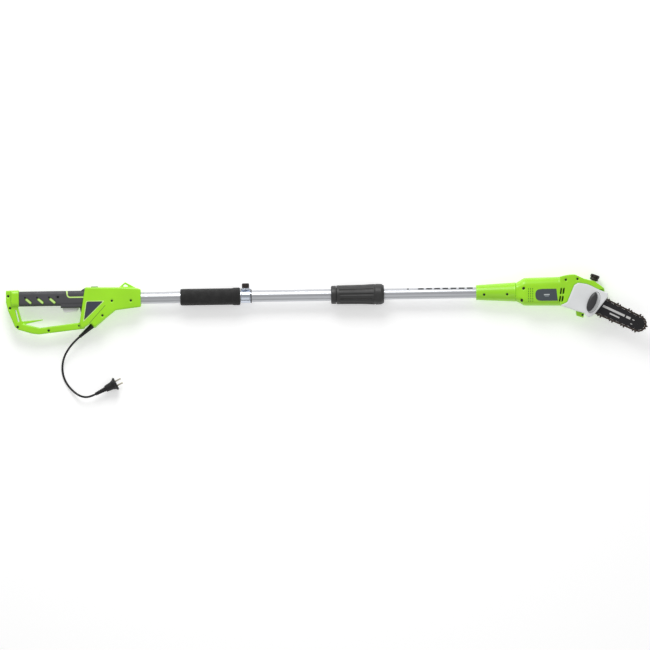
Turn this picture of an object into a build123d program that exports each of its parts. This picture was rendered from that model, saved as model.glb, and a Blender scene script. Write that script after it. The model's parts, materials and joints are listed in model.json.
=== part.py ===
from build123d import *
import os
from math import cos, pi, radians, sin, tan

# Corded telescoping pole saw, lying on its side.
# X runs along the pole towards the saw, Y towards the tool's top, Z up from the floor.
# The origin is on the pole's axis, on the bare stretch of the lower tube.

# --- driving dimensions, millimetres -------------------------------------------------
FLOOR = -36.0                 # Z of the surface that the saw lies on
GAP = 0.3                     # clearance between moving pieces
SEAT = 0.1                    # clearance between fixed pieces that nest
WALL = 3.0                    # wall of the moulded housings

LOWER_R = 17.8                # lower tube, outside radius
LOWER_WALL = 1.0
UPPER_R = 16.5                # upper tube, outside radius
UPPER_WALL = 1.2
LOWER_REAR = -645.0
LOWER_FRONT = 60.0
UPPER_REAR = -400.0
UPPER_FRONT = 540.0

HANDLE_REAR = -957.0
HANDLE_FRONT = -552.0
GRIP_REAR = -918.0
GRIP_FRONT = -722.0
GRIP_Y = 2.0                  # the grip's middle is a little above the pole's axis
BODY_HALF = 27.0              # half thickness of the switch body
GUARD_HALF = 13.0             # half thickness of the hand guard

FOAM_REAR = -434.0
FOAM_FRONT = -254.0
FOAM_R = 25.0
CLAMP_X = -238.0              # middle of the strap clamp
COUPLER_REAR = 18.0
COLLAR_REAR = 34.0
COUPLER_FRONT = 177.0

HEAD_REAR = 453.0
BARREL_REAR = 572.0
BARREL_FRONT = 712.0
BARREL_HALF_Z = 36.0
MOTOR_Y = -12.0               # the motor's axis lies below the pole's
SPROCKET_X = 755.0
PLATE_Z = 14.0                # outer face of the gear housing, under the cover
COVER_Z = 38.0                # outer face of the sprocket cover

BAR_Z = 22.0                  # middle plane of the bar and chain
BAR_TILT = -25.9              # the bar points down from the pole's axis, degrees
BAR_HALF_Z = 2.2
STUD_ALONG = 49.0             # bar stud, measured along the bar from the sprocket
NOSE_ALONG = 203.0            # centre of the bar's nose
PITCHES = 58                  # drive links and strap pairs round the chain

CORD_R = 3.2
PLUG_FLANGE_R = 20.0

os.makedirs("parts", exist_ok=True)


# --- helpers --------------------------------------------------------------------------
def ring(x_rear, x_front, r_out, r_in, mode=Mode.ADD, y=0.0):
    """A plain tube along the pole, added to or cut from the part being built."""
    with BuildSketch(Plane.YZ.offset(x_rear)) as section:
        with Locations((y, 0)):
            Circle(r_out)
            if r_in:
                Circle(r_in, mode=Mode.SUBTRACT)
    extrude(section.sketch, amount=x_front - x_rear, mode=mode)


def post(x, y, z_low, z_high, radius, bore=0.0, mode=Mode.ADD):
    """A round post or hole that stands along Z."""
    with BuildSketch(Plane.XY.offset(z_low)) as section:
        with Locations((x, y)):
            Circle(radius)
            if bore:
                Circle(bore, mode=Mode.SUBTRACT)
    extrude(section.sketch, amount=z_high - z_low, mode=mode)


def plate(points, z_low, z_high, corner=0.0, inset=0.0, base=Plane.XY, mode=Mode.ADD):
    """A flat plate with the outline through the points, between two heights."""
    with BuildSketch(base.offset(z_low)) as outline:
        with BuildLine():
            Polyline(*points, close=True)
        make_face()
        if corner:
            fillet(outline.vertices(), radius=corner)
        if inset:
            offset(amount=-inset, kind=Kind.INTERSECTION, mode=Mode.REPLACE)
    extrude(outline.sketch, amount=z_high - z_low, mode=mode)


def bar_section(x_rear, x_front, half_y, half_z, corner, y=0.0, mode=Mode.ADD):
    """A prism along the pole with a rounded rectangular section."""
    with BuildSketch(Plane.YZ.offset(x_rear)) as section:
        with Locations((y, 0)):
            RectangleRounded(2 * half_y, 2 * half_z, corner)
    extrude(section.sketch, amount=x_front - x_rear, mode=mode)


def span(side, near, far):
    """Two heights, sorted, on the right side for +1 and on the left side for -1."""
    return min(side * near, side * far), max(side * near, side * far)


def keep_side(side):
    """Which side of the middle plane a half keeps."""
    return Keep.TOP if side > 0 else Keep.BOTTOM


SIDES = {"right": 1, "left": -1}

# --- handle: sizes --------------------------------------------------------------------
BODY_OUTLINE = [
    (HANDLE_FRONT, 25.5),
    (-562, 29.5),
    (-617, 33),
    (-719, 34.5),
    (-737, -72),
    (-731, -90),
    (-721, -85),
    (-703, -74),
    (-691, -86),
    (-628, -36),
    (HANDLE_FRONT, -27),
]
BODY_POCKET = [(-713, 28), (-664, 28), (-664, -38), (-688, -56), (-722, -62)]
HANG_LOOP = [(-620, 31), (-599, 48), (-560, 27)]
HANG_HOLE = [(-608, 34.4), (-599, 41.8), (-586, 34.4)]
GUARD_OUTLINE = [
    (HANDLE_REAR, 28),
    (HANDLE_REAR, -8),
    (-951, -33),
    (-931, -82),
    (-921, -90),
    (-881, -102),
    (-860, -105),
    (-813, -100),
    (-722, -90),
    (-722, -71),
    (-738, -71),
    (-856, -85),
    (-908, -72),
    (-921, -24),
    (-917, 29),
]
GUARD_SLOT = [(-930, -30), (-926, -30), (-917, -66), (-922, -66)]
HOOK_PRONG = [(-914, -76), (-910, -65), (-846, -59.5), (-846, -62.5)]
COLLAR_SPAN = (-941.0, GRIP_REAR)
CORE_HALF_Y = 19.5
CORE_HALF_Z = 16.5
CORE_CORNER = 8.0
PAD = 3.0                     # thickness of the soft grip
PAD_CORNER = 11.0
TRIGGER_REAR = -789.0
TRIGGER_FRONT = -738.0
TRIGGER_HALF_Z = 7.0
TRIGGER_PIVOT = (-743.0, -15.0)
TRIGGER_PIN_R = 2.0
WINDOW_X = (-889.0, -853.0, -817.0)
WINDOW_Y = -5.0
WINDOW_SIZE = (23.0, 8.0)
WINDOW_TILT = -41.0
BUTTON_X = (-702.0, -680.0)
BUTTON_HALF_Z = 5.5
PANEL_OUTLINE = [(-715, -8), (-664, -8), (-724, -66)]
PANEL_THICK = 1.5
HANDLE_SCREWS = [
    (-950, 11, GUARD_HALF),
    (-945, -25, GUARD_HALF),
    (-923, -82, GUARD_HALF),
    (-830, -94, GUARD_HALF),
    (-801, 6, CORE_HALF_Z + PAD),
    (-668, -51, BODY_HALF),
    (-639, -7.5, BODY_HALF),
    (-582, -7.5, BODY_HALF),
]
SCREW_HEAD_R = 3.8
SCREW_SHANK_R = 1.8
SCREW_SINK = 2.0              # the heads sit this far below the surface
SCREW_HEAD_T = 2.4
SCREW_LENGTH = 4.0

SNOUT_ROOT = Vector(-668, -54)
SNOUT_TIP = Vector(-699, -80.5)
SNOUT_R = 11.5
RELIEF_TIP = Vector(-737.5, -113.5)
RELIEF_R = 8.2
RELIEF_TIP_R = 4.6
RELIEF_ROOT = 14.0            # length held inside the snout
cord_way = (RELIEF_TIP - SNOUT_TIP).normalized()
relief_length = (RELIEF_TIP - SNOUT_TIP).length


def across_cord(start, along=0.0):
    """The plane across the cable's exit, at a distance along it from the start."""
    side_way = (-cord_way.Y, cord_way.X, 0)
    return Plane(origin=start + cord_way * along, x_dir=side_way, z_dir=cord_way)


def handle_screw_holes(side):
    """Counterbores on the right half and pilot holes that stop inside each boss."""
    for x, y, half in HANDLE_SCREWS:
        if side > 0:
            head_floor = half - SCREW_SINK - SCREW_HEAD_T
            post(x, y, head_floor - SEAT, half + 1, SCREW_HEAD_R + SEAT, mode=Mode.SUBTRACT)
            post(x, y, head_floor - SCREW_LENGTH - SEAT, half, SCREW_SHANK_R + SEAT, mode=Mode.SUBTRACT)


def grip_trim_path(low, high, mode):
    """The pinstripe that runs down and along the front of the grip."""
    with BuildSketch(Plane.XY.offset(low)) as stripe:
        with BuildLine() as path:
            FilletPolyline((-775, 40), (-772, 5), (-700, 5), radius=9)
        trace(path.line, line_width=4)
    extrude(stripe.sketch, amount=high - low, mode=mode)


# --- handle: shells -------------------------------------------------------------------
for name, side in SIDES.items():
    with BuildPart() as handle_shell:
        plate(GUARD_OUTLINE, *span(side, 0, GUARD_HALF), corner=2.5)
        fillet(handle_shell.faces().sort_by(Axis.Z)[-1 if side > 0 else 0].edges(), radius=2.3)
        plate(GUARD_SLOT, *span(side, 0, GUARD_HALF + 1), mode=Mode.SUBTRACT)
        plate(HOOK_PRONG, *span(side, 0, 4))
        bar_section(*COLLAR_SPAN, CORE_HALF_Y + 5.5, CORE_HALF_Z + 5.5, 12, y=GRIP_Y + 1.5)
        bar_section(GRIP_REAR - 1, GRIP_FRONT, CORE_HALF_Y, CORE_HALF_Z, CORE_CORNER, y=GRIP_Y)
        for x in WINDOW_X:
            with BuildSketch(Plane.XY) as window:
                with Locations((x, WINDOW_Y)):
                    SlotOverall(WINDOW_SIZE[0] - 1, WINDOW_SIZE[1] - 1, rotation=WINDOW_TILT)
            extrude(window.sketch, amount=side * (CORE_HALF_Z + PAD - 1))
        plate(HANG_LOOP, *span(side, 0, 5), corner=1.2)
        plate(BODY_OUTLINE, *span(side, 0, BODY_HALF), corner=3.5)
        fillet(handle_shell.faces().sort_by(Axis.Z)[-1 if side > 0 else 0].edges(), radius=3.3)
        with BuildSketch(across_cord(SNOUT_ROOT)) as snout:
            Circle(SNOUT_R)
        extrude(snout.sketch, amount=(SNOUT_TIP - SNOUT_ROOT).length)
        split(bisect_by=Plane.XY, keep=keep_side(side))
        plate(HANG_HOLE, *span(side, -1, 6), mode=Mode.SUBTRACT)
        plate(BODY_POCKET, *span(side, -1, BODY_HALF - WALL - PANEL_THICK), mode=Mode.SUBTRACT)
        plate(PANEL_OUTLINE, *span(side, BODY_HALF - PANEL_THICK, BODY_HALF + 1), mode=Mode.SUBTRACT)
        bar_section(-795, -733, 12, 11, 2, y=GRIP_Y, mode=Mode.SUBTRACT)
        trigger_slot = [(TRIGGER_REAR, -5), (TRIGGER_FRONT, -5), (TRIGGER_FRONT, -30), (TRIGGER_REAR, -30)]
        plate(trigger_slot, -TRIGGER_HALF_Z - 0.5, TRIGGER_HALF_Z + 0.5, mode=Mode.SUBTRACT)
        post(*TRIGGER_PIVOT, -14, 14, TRIGGER_PIN_R + 0.05, mode=Mode.SUBTRACT)
        button_slot = [(x, y) for x, y in ((BUTTON_X[0], 20), (BUTTON_X[1], 20), (BUTTON_X[1], 40), (BUTTON_X[0], 40))]
        plate(button_slot, -BUTTON_HALF_Z, BUTTON_HALF_Z, mode=Mode.SUBTRACT)
        ring(LOWER_REAR, HANDLE_FRONT + 1, LOWER_R + SEAT, 0, mode=Mode.SUBTRACT)
        ring(-668, LOWER_REAR, LOWER_R - 4, 0, mode=Mode.SUBTRACT)
        with BuildSketch(across_cord(SNOUT_TIP)) as relief_seat:
            Circle(RELIEF_R + SEAT)
        extrude(relief_seat.sketch, amount=-RELIEF_ROOT - SEAT, mode=Mode.SUBTRACT)
        with BuildSketch(across_cord(SNOUT_TIP)) as relief_room:
            Circle(SNOUT_R + 2)
        extrude(relief_room.sketch, amount=9, mode=Mode.SUBTRACT)
        handle_screw_holes(side)
    handle_shell.part.label = f"handle_shell_{name}"
    export_step(handle_shell.part, f"parts/handle_shell_{name}.step")

# --- handle: soft grip, pinstripe and side panels --------------------------------------
for name, side in SIDES.items():
    with BuildPart() as grip_pad:
        pad_y, pad_z = CORE_HALF_Y + PAD, CORE_HALF_Z + PAD
        bar_section(GRIP_REAR, GRIP_FRONT, pad_y, pad_z, PAD_CORNER, y=GRIP_Y)
        bar_section(TRIGGER_REAR - 4, GRIP_FRONT, 15, pad_z - 1.5, 6, y=-12)
        plate([(-737, -20), (-722, -20), (-728, -40), (-733, -40)], -12, 12)
        plate([(-734, 22), (-730, 26), (-717, 34), (-717, 22)], -14, 14)
        bar_section(GRIP_REAR - 1, GRIP_FRONT + 9, CORE_HALF_Y + SEAT, CORE_HALF_Z + SEAT, CORE_CORNER,
                    y=GRIP_Y, mode=Mode.SUBTRACT)
        plate(BODY_OUTLINE, -BODY_HALF, BODY_HALF, mode=Mode.SUBTRACT)
        plate(GUARD_OUTLINE, -GUARD_HALF, GUARD_HALF, mode=Mode.SUBTRACT)
        plate(trigger_slot, -TRIGGER_HALF_Z - 0.5, TRIGGER_HALF_Z + 0.5, mode=Mode.SUBTRACT)
        post(*TRIGGER_PIVOT, -14, 14, TRIGGER_PIN_R + 0.05, mode=Mode.SUBTRACT)
        split(bisect_by=Plane.XY, keep=keep_side(side))
        for x in WINDOW_X:
            with BuildSketch(Plane.XY) as window:
                with Locations((x, WINDOW_Y)):
                    SlotOverall(*WINDOW_SIZE, rotation=WINDOW_TILT)
            extrude(window.sketch, amount=side * 2 * pad_z, mode=Mode.SUBTRACT)
        grip_trim_path(*span(side, 12, 25), Mode.SUBTRACT)
        handle_screw_holes(side)
    grip_pad.part.label = f"grip_pad_{name}"
    export_step(grip_pad.part, f"parts/grip_pad_{name}.step")

    with BuildPart() as grip_trim:
        bar_section(-778, -724, pad_y + 0.5, pad_z + 0.5, PAD_CORNER, y=GRIP_Y)
        bar_section(-779, -723, CORE_HALF_Y + SEAT, CORE_HALF_Z + SEAT, CORE_CORNER, y=GRIP_Y, mode=Mode.SUBTRACT)
        grip_trim_path(*span(side, 12.1, 25), Mode.INTERSECT)
        plate(BODY_OUTLINE, -BODY_HALF, BODY_HALF, mode=Mode.SUBTRACT)
    grip_trim.part.label = f"grip_trim_{name}"
    export_step(grip_trim.part, f"parts/grip_trim_{name}.step")

    with BuildPart() as side_panel:
        plate(PANEL_OUTLINE, *span(side, BODY_HALF - PANEL_THICK, BODY_HALF - 0.4), inset=0.3)
    side_panel.part.label = f"side_panel_{name}"
    export_step(side_panel.part, f"parts/side_panel_{name}.step")

# --- handle: small pieces ---------------------------------------------------------------
with BuildPart() as handle_screws:
    for x, y, half in HANDLE_SCREWS:
        head_floor = half - SCREW_SINK - SCREW_HEAD_T
        post(x, y, head_floor, head_floor + SCREW_HEAD_T, SCREW_HEAD_R)
        post(x, y, head_floor - SCREW_LENGTH, head_floor, SCREW_SHANK_R)
handle_screws.part.label = "handle_screws"
export_step(handle_screws.part, "parts/handle_screws.step")

with BuildPart() as trigger_pin:
    post(*TRIGGER_PIVOT, -13.5, 13.5, TRIGGER_PIN_R)
trigger_pin.part.label = "trigger_pin"
export_step(trigger_pin.part, "parts/trigger_pin.step")

with BuildPart() as trigger:
    lever = [(-739, -10), (-739, -30), (-746, -38), (-774, -41), (-785, -38), (-788, -28), (-787, -17), (-752, -10)]
    plate(lever, -TRIGGER_HALF_Z, TRIGGER_HALF_Z, corner=1.5)
    post(*TRIGGER_PIVOT, -8, 8, TRIGGER_PIN_R + 0.06, mode=Mode.SUBTRACT)
trigger.part.label = "trigger"
export_step(trigger.part, "parts/trigger.step")

with BuildPart() as lock_button:
    cap = [(BUTTON_X[0] + GAP, 22), (BUTTON_X[1] - GAP, 22), (BUTTON_X[1] - GAP, 36.5), (BUTTON_X[0] + GAP, 36.5)]
    plate(cap, -BUTTON_HALF_Z + GAP, BUTTON_HALF_Z - GAP)
lock_button.part.label = "lock_button"
export_step(lock_button.part, "parts/lock_button.step")

with BuildPart() as switch_body:
    plate([(-790, -3), (-742, -3), (-742, 12), (-790, 12)], -9, 9)
switch_body.part.label = "switch_body"
export_step(switch_body.part, "parts/switch_body.step")

with BuildPart() as cord_clamp:
    plate([(-706, -40), (-682, -40), (-682, -32), (-706, -32)], -20, 20)
cord_clamp.part.label = "cord_clamp"
export_step(cord_clamp.part, "parts/cord_clamp.step")

with BuildPart() as strain_relief:
    with BuildSketch(across_cord(SNOUT_TIP, -RELIEF_ROOT)):
        Circle(RELIEF_R)
    extrude(amount=RELIEF_ROOT)
    with BuildSketch(across_cord(SNOUT_TIP)):
        Circle(RELIEF_R + 0.4)
    with BuildSketch(across_cord(SNOUT_TIP, relief_length - 4)):
        Circle(RELIEF_TIP_R)
    loft()
    with BuildSketch(across_cord(SNOUT_TIP, relief_length - 4)):
        Circle(RELIEF_TIP_R + 0.9)
    extrude(amount=4)
strain_relief.part.label = "strain_relief"
export_step(strain_relief.part, "parts/strain_relief.step")

# --- mains cord and plug -----------------------------------------------------------------
lying = FLOOR + CORD_R + 0.05
PLUG_AT = Vector(-693, -286.5, FLOOR + PLUG_FLANGE_R)
PLUG_TURN = 26.5              # the plug points up and to the right in plan, degrees
plug_way = Vector(cos(radians(PLUG_TURN)), sin(radians(PLUG_TURN)), 0)
EXIT_RUN = 20.0               # the cord leaves the strain relief straight
PLUG_RUN = 21.3               # and enters the plug straight
cord_out = RELIEF_TIP + cord_way * EXIT_RUN
cord_in = PLUG_AT - plug_way * PLUG_RUN
CORD_ROUTE = [
    (RELIEF_TIP.X, RELIEF_TIP.Y, 0),
    (cord_out.X, cord_out.Y, 0),
    (-773, -150, -7),
    (-787, -175, -19),
    (-793, -202, -30),
    (-791, -229, lying),
    (-780, -256, lying),
    (-758.5, -280, -27.5),
    (-736.5, -294, -18.5),
    (cord_in.X, cord_in.Y, cord_in.Z),
    (PLUG_AT.X, PLUG_AT.Y, PLUG_AT.Z),
]


def bend_radii(route):
    """The largest arc that each corner's two runs leave room for."""
    points = [Vector(*point) for point in route]
    radii = []
    for before, corner, after in zip(points, points[1:], points[2:]):
        turn = radians((corner - before).get_angle(after - corner))
        shorter = min((corner - before).length, (after - corner).length)
        radii.append(0.45 * shorter / tan(turn / 2))
    return radii


cord_radii = bend_radii(CORD_ROUTE)
print("cord bend radii:", [round(radius) for radius in cord_radii])

with BuildPart() as mains_cord:
    with BuildLine() as cord_path:
        FilletPolyline(*CORD_ROUTE, radius=cord_radii)
    cord_line = cord_path.wires()[0]
    with BuildSketch(Plane(origin=cord_line @ 0, z_dir=cord_line % 0)):
        Circle(CORD_R)
    sweep(path=cord_line)
cord_length = cord_line.length
print("cord length:", round(cord_length, 1), "volume ratio:",
      round(mains_cord.part.volume / (pi * CORD_R**2 * cord_length), 4))
mains_cord.part.label = "mains_cord"
export_step(mains_cord.part, "parts/mains_cord.step")


def across_plug(along):
    """The plane across the plug, at a distance from where the cord enters it."""
    return Plane(origin=PLUG_AT + plug_way * along, x_dir=(-plug_way.Y, plug_way.X, 0), z_dir=plug_way)


PLUG_BOOT = 34.0
PLUG_FLANGE_AT = 64.0
PLUG_FACE = 70.0
PIN_LENGTH = 18.5
PIN_R = 2.4
PIN_SPACING = 19.0
PIN_ROLL = 44.0               # the plug lies rolled over on its rim

with BuildPart() as plug_body:
    for start, end, r_start, r_end in (
        (0, PLUG_BOOT, CORD_R + 1.6, 7.5),
        (PLUG_BOOT, PLUG_FLANGE_AT, 10.5, 16),
        (PLUG_FLANGE_AT, PLUG_FACE, PLUG_FLANGE_R, PLUG_FLANGE_R),
    ):
        with BuildSketch(across_plug(start)):
            Circle(r_start)
        with BuildSketch(across_plug(end)):
            Circle(r_end)
        loft()
plug_body.part.label = "plug_body"
export_step(plug_body.part, "parts/plug_body.step")

with BuildPart() as plug_pins:
    for way in (-1, 1):
        reach = way * PIN_SPACING / 2
        with BuildSketch(across_plug(PLUG_FACE)):
            with Locations((reach * cos(radians(PIN_ROLL)), reach * sin(radians(PIN_ROLL)))):
                Circle(PIN_R)
        extrude(amount=PIN_LENGTH)
plug_pins.part.label = "plug_pins"
export_step(plug_pins.part, "parts/plug_pins.step")

# --- lower pole ---------------------------------------------------------------------------
with BuildPart() as lower_tube:
    ring(LOWER_REAR, LOWER_FRONT, LOWER_R, LOWER_R - LOWER_WALL)
lower_tube.part.label = "lower_tube"
export_step(lower_tube.part, "parts/lower_tube.step")

with BuildPart() as coiled_lead:
    ring(-632, -352, 10, 0)
coiled_lead.part.label = "coiled_lead"
export_step(coiled_lead.part, "parts/coiled_lead.step")

with BuildPart() as foam_grip:
    ring(FOAM_REAR, FOAM_FRONT - 22, FOAM_R, LOWER_R + SEAT)
    ring(FOAM_FRONT - 22, FOAM_FRONT, FOAM_R + 1.8, LOWER_R + SEAT)
foam_grip.part.label = "foam_grip"
export_step(foam_grip.part, "parts/foam_grip.step")

BAND_R = 20.6
with BuildPart() as clamp_band:
    ring(CLAMP_X - 14.5, CLAMP_X + 14.5, BAND_R, LOWER_R + 1.2)
    plate([(CLAMP_X - 13, 12), (CLAMP_X + 13, 12), (CLAMP_X + 13, 21), (CLAMP_X - 13, 21)], -9, 9)
    ring(CLAMP_X - 15, CLAMP_X + 15, LOWER_R + 1.2, 0, mode=Mode.SUBTRACT)
clamp_band.part.label = "clamp_band"
export_step(clamp_band.part, "parts/clamp_band.step")

with BuildPart() as clamp_liner:
    ring(CLAMP_X - 14.5, CLAMP_X + 14.8, LOWER_R + 1.1, LOWER_R + SEAT)
    ring(CLAMP_X + 14.8, CLAMP_X + 18, LOWER_R + 2.6, LOWER_R + SEAT)
clamp_liner.part.label = "clamp_liner"
export_step(clamp_liner.part, "parts/clamp_liner.step")


def standing(y_low, y_high, radius, x=CLAMP_X, bore=0.0, mode=Mode.ADD):
    """A round piece that stands on top of the pole, along Y."""
    with BuildSketch(Plane(origin=(x, y_low, 0), x_dir=(1, 0, 0), z_dir=(0, 1, 0))) as section:
        Circle(radius)
        if bore:
            Circle(bore, mode=Mode.SUBTRACT)
    extrude(section.sketch, amount=y_high - y_low, mode=mode)


with BuildPart() as clamp_washer:
    standing(21.1, 23.5, 16, bore=3.4)
clamp_washer.part.label = "clamp_washer"
export_step(clamp_washer.part, "parts/clamp_washer.step")

KNOB_R = 11.6
with BuildPart() as clamp_knob:
    standing(23.8, 39, KNOB_R)
    with BuildSketch(Plane(origin=(CLAMP_X, 27, 0), x_dir=(1, 0, 0), z_dir=(0, 1, 0))) as flutes:
        with PolarLocations(KNOB_R + 1.4, 6, start_angle=0):
            Circle(3.0)
    extrude(flutes.sketch, amount=20, mode=Mode.SUBTRACT)
    standing(21.3, 23.8, 3)
clamp_knob.part.label = "clamp_knob"
export_step(clamp_knob.part, "parts/clamp_knob.step")

# --- telescoping lock -----------------------------------------------------------------------
SLEEVE_R = 21.5
with BuildPart() as coupler_body:
    ring(COUPLER_REAR, COLLAR_REAR - 0.5, 27.5, LOWER_R + SEAT)
    ring(COLLAR_REAR - 0.5, LOWER_FRONT, SLEEVE_R, LOWER_R + SEAT)
    ring(LOWER_FRONT, 112, SLEEVE_R, UPPER_R + 0.4)
coupler_body.part.label = "coupler_body"
export_step(coupler_body.part, "parts/coupler_body.step")

with BuildPart() as collet:
    ring(112, 164, 20, UPPER_R + 0.1)
    for turn in (0, 60, 120):
        with BuildSketch(Plane.YZ.offset(122)) as slit:
            Rectangle(50, 1.6, rotation=turn)
        extrude(slit.sketch, amount=50, mode=Mode.SUBTRACT)
collet.part.label = "collet"
export_step(collet.part, "parts/collet.step")

with BuildPart() as twist_collar:
    with BuildSketch(Plane.XY):
        with BuildLine():
            Polyline(
                (COLLAR_REAR, SLEEVE_R + 0.4),
                (COLLAR_REAR, 28),
                (110, 29.2),
                (150, 31.3),
                (166, 31),
                (174, 29),
                (COUPLER_FRONT, 25.5),
                (COUPLER_FRONT, UPPER_R + 0.5),
                (169, UPPER_R + 0.5),
                (166, SLEEVE_R + 0.4),
                close=True,
            )
        make_face()
    revolve(axis=Axis.X)
    with BuildSketch(Plane.YZ.offset(COLLAR_REAR + 8)) as flutes:
        with PolarLocations(30.6, 12, start_angle=15):
            Circle(2.9)
    extrude(flutes.sketch, amount=118, mode=Mode.SUBTRACT)
twist_collar.part.label = "twist_collar"
export_step(twist_collar.part, "parts/twist_collar.step")

# --- upper pole ------------------------------------------------------------------------------
with BuildPart() as upper_tube:
    ring(UPPER_REAR, UPPER_FRONT, UPPER_R, UPPER_R - UPPER_WALL)
upper_tube.part.label = "upper_tube"
export_step(upper_tube.part, "parts/upper_tube.step")

with BuildPart() as guide_bush:
    ring(UPPER_REAR - 4, UPPER_REAR, UPPER_R, 12)
    ring(UPPER_REAR, UPPER_REAR + 25, UPPER_R - UPPER_WALL - SEAT, 12)
guide_bush.part.label = "guide_bush"
export_step(guide_bush.part, "parts/guide_bush.step")

# --- saw head: sizes ---------------------------------------------------------------------------
HEAD_TOP = [(704, 44), (719, 47.5), (735, 50), (749, 50), (776, 37), (809, 28), (828, 14), (838, 6)]
SEAM = [(822, 2.5), (799, 14.5), (785, 20.5), (759, 24.6), (747, 18), (736.5, -6), (725, -33), (706, -41.5)]
COVER_EDGE = [(706, -44), (729, -51), (752, -59.5), (776, -67), (787, -80), (804, -73), (846, -21), (848, -8)]
LUG = [(751, -55), (753, -74), (774, -81), (777, -60)]
HOUSING_FRONT = [(838, -20), (798, -70), (787, -76), (776, -65), (752, -58), (729, -49.5), (704, -43)]
MOTOR_BAY = (577.0, 709.0)
HEAD_SCREWS = [
    (477, -6.5, 23.4, 2.2),
    (546, -6.5, 27.2, 5.5),
    (595, 10.5, 36, 4.0),
    (589, -26, 34, 4.0),
    (722, 34, 36, 4.0),
    (757, 36, 36, 4.0),
]
GEAR_TEETH = 32
PINION_TEETH = 8
GEAR_R = 24.0
PINION_R = GEAR_R * PINION_TEETH / GEAR_TEETH
TOOTH = 1.4
GEAR_FACE = 7.6               # Z of the gear's back of teeth
SHAFT_R = 5.0
bar_way = Vector(cos(radians(BAR_TILT)), sin(radians(BAR_TILT)), 0)
SPROCKET = Vector(SPROCKET_X, MOTOR_Y, 0)
STUD = SPROCKET + bar_way * STUD_ALONG
bar_plane = Plane(origin=SPROCKET, x_dir=bar_way, z_dir=(0, 0, 1))
CAP_TILT = 20.0
cap_way = Vector(sin(radians(CAP_TILT)), cos(radians(CAP_TILT)), 0)
CAP_FOOT = Vector(805.5, 27.5, -13)
SCREW_Y = -16.0               # chain tension screw, below the bar's axis
SCREW_Z = 16.9
NUT_ALONG = 40.0
CHAIN_SLACK = 4.0             # how far the bar can move back
CHAMBER_R = 30.0              # room for the chain round the sprocket
CHAMBER_TOP = 28.0


def cap_plane(along):
    """The plane across the oil filler, at a height above the housing."""
    return Plane(origin=CAP_FOOT + cap_way * along, x_dir=(cap_way.Y, -cap_way.X, 0), z_dir=cap_way)


def along_bar(start, end, radius, y, z, bore=0.0, mode=Mode.ADD):
    """A round piece parallel to the bar."""
    origin = SPROCKET + bar_way * start + Vector(-bar_way.Y, bar_way.X, 0) * y + Vector(0, 0, z)
    with BuildSketch(Plane(origin=origin, x_dir=(0, 0, 1), z_dir=bar_way)) as section:
        Circle(radius)
        if bore:
            Circle(bore, mode=Mode.SUBTRACT)
    extrude(section.sketch, amount=end - start, mode=mode)


def barrel(inset, x_rear, x_front):
    """The motor barrel's swelling body, as a solid inset from its outer face."""
    stations = [
        (x_rear, 36 - inset, 33 - inset),
        (BARREL_REAR + 25, 41.5 - inset, BARREL_HALF_Z - inset),
        (x_front, 43.5 - inset, BARREL_HALF_Z - inset),
    ]
    faces = []
    for x, half_y, half_z in stations:
        with BuildSketch(Plane.YZ.offset(x)) as section:
            RectangleRounded(2 * half_y, 2 * half_z, 24 - inset)
        faces.append(section.sketch)
    return faces


def neck():
    """The round neck that holds the upper tube."""
    with BuildSketch(Plane.YZ.offset(HEAD_REAR)) as rear:
        Circle(22.5)
    with BuildSketch(Plane.YZ.offset(BARREL_REAR)) as front:
        Circle(29)
    return [rear.sketch, front.sketch]


def head_screw_holes():
    """Counterbored holes for the head's screws."""
    for x, y, surface, length in HEAD_SCREWS:
        floor = surface - SCREW_SINK - SCREW_HEAD_T
        post(x, y, floor - SEAT, surface + 4, SCREW_HEAD_R + SEAT, mode=Mode.SUBTRACT)
        post(x, y, floor - length - SEAT, floor, SCREW_SHANK_R + SEAT, mode=Mode.SUBTRACT)


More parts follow.
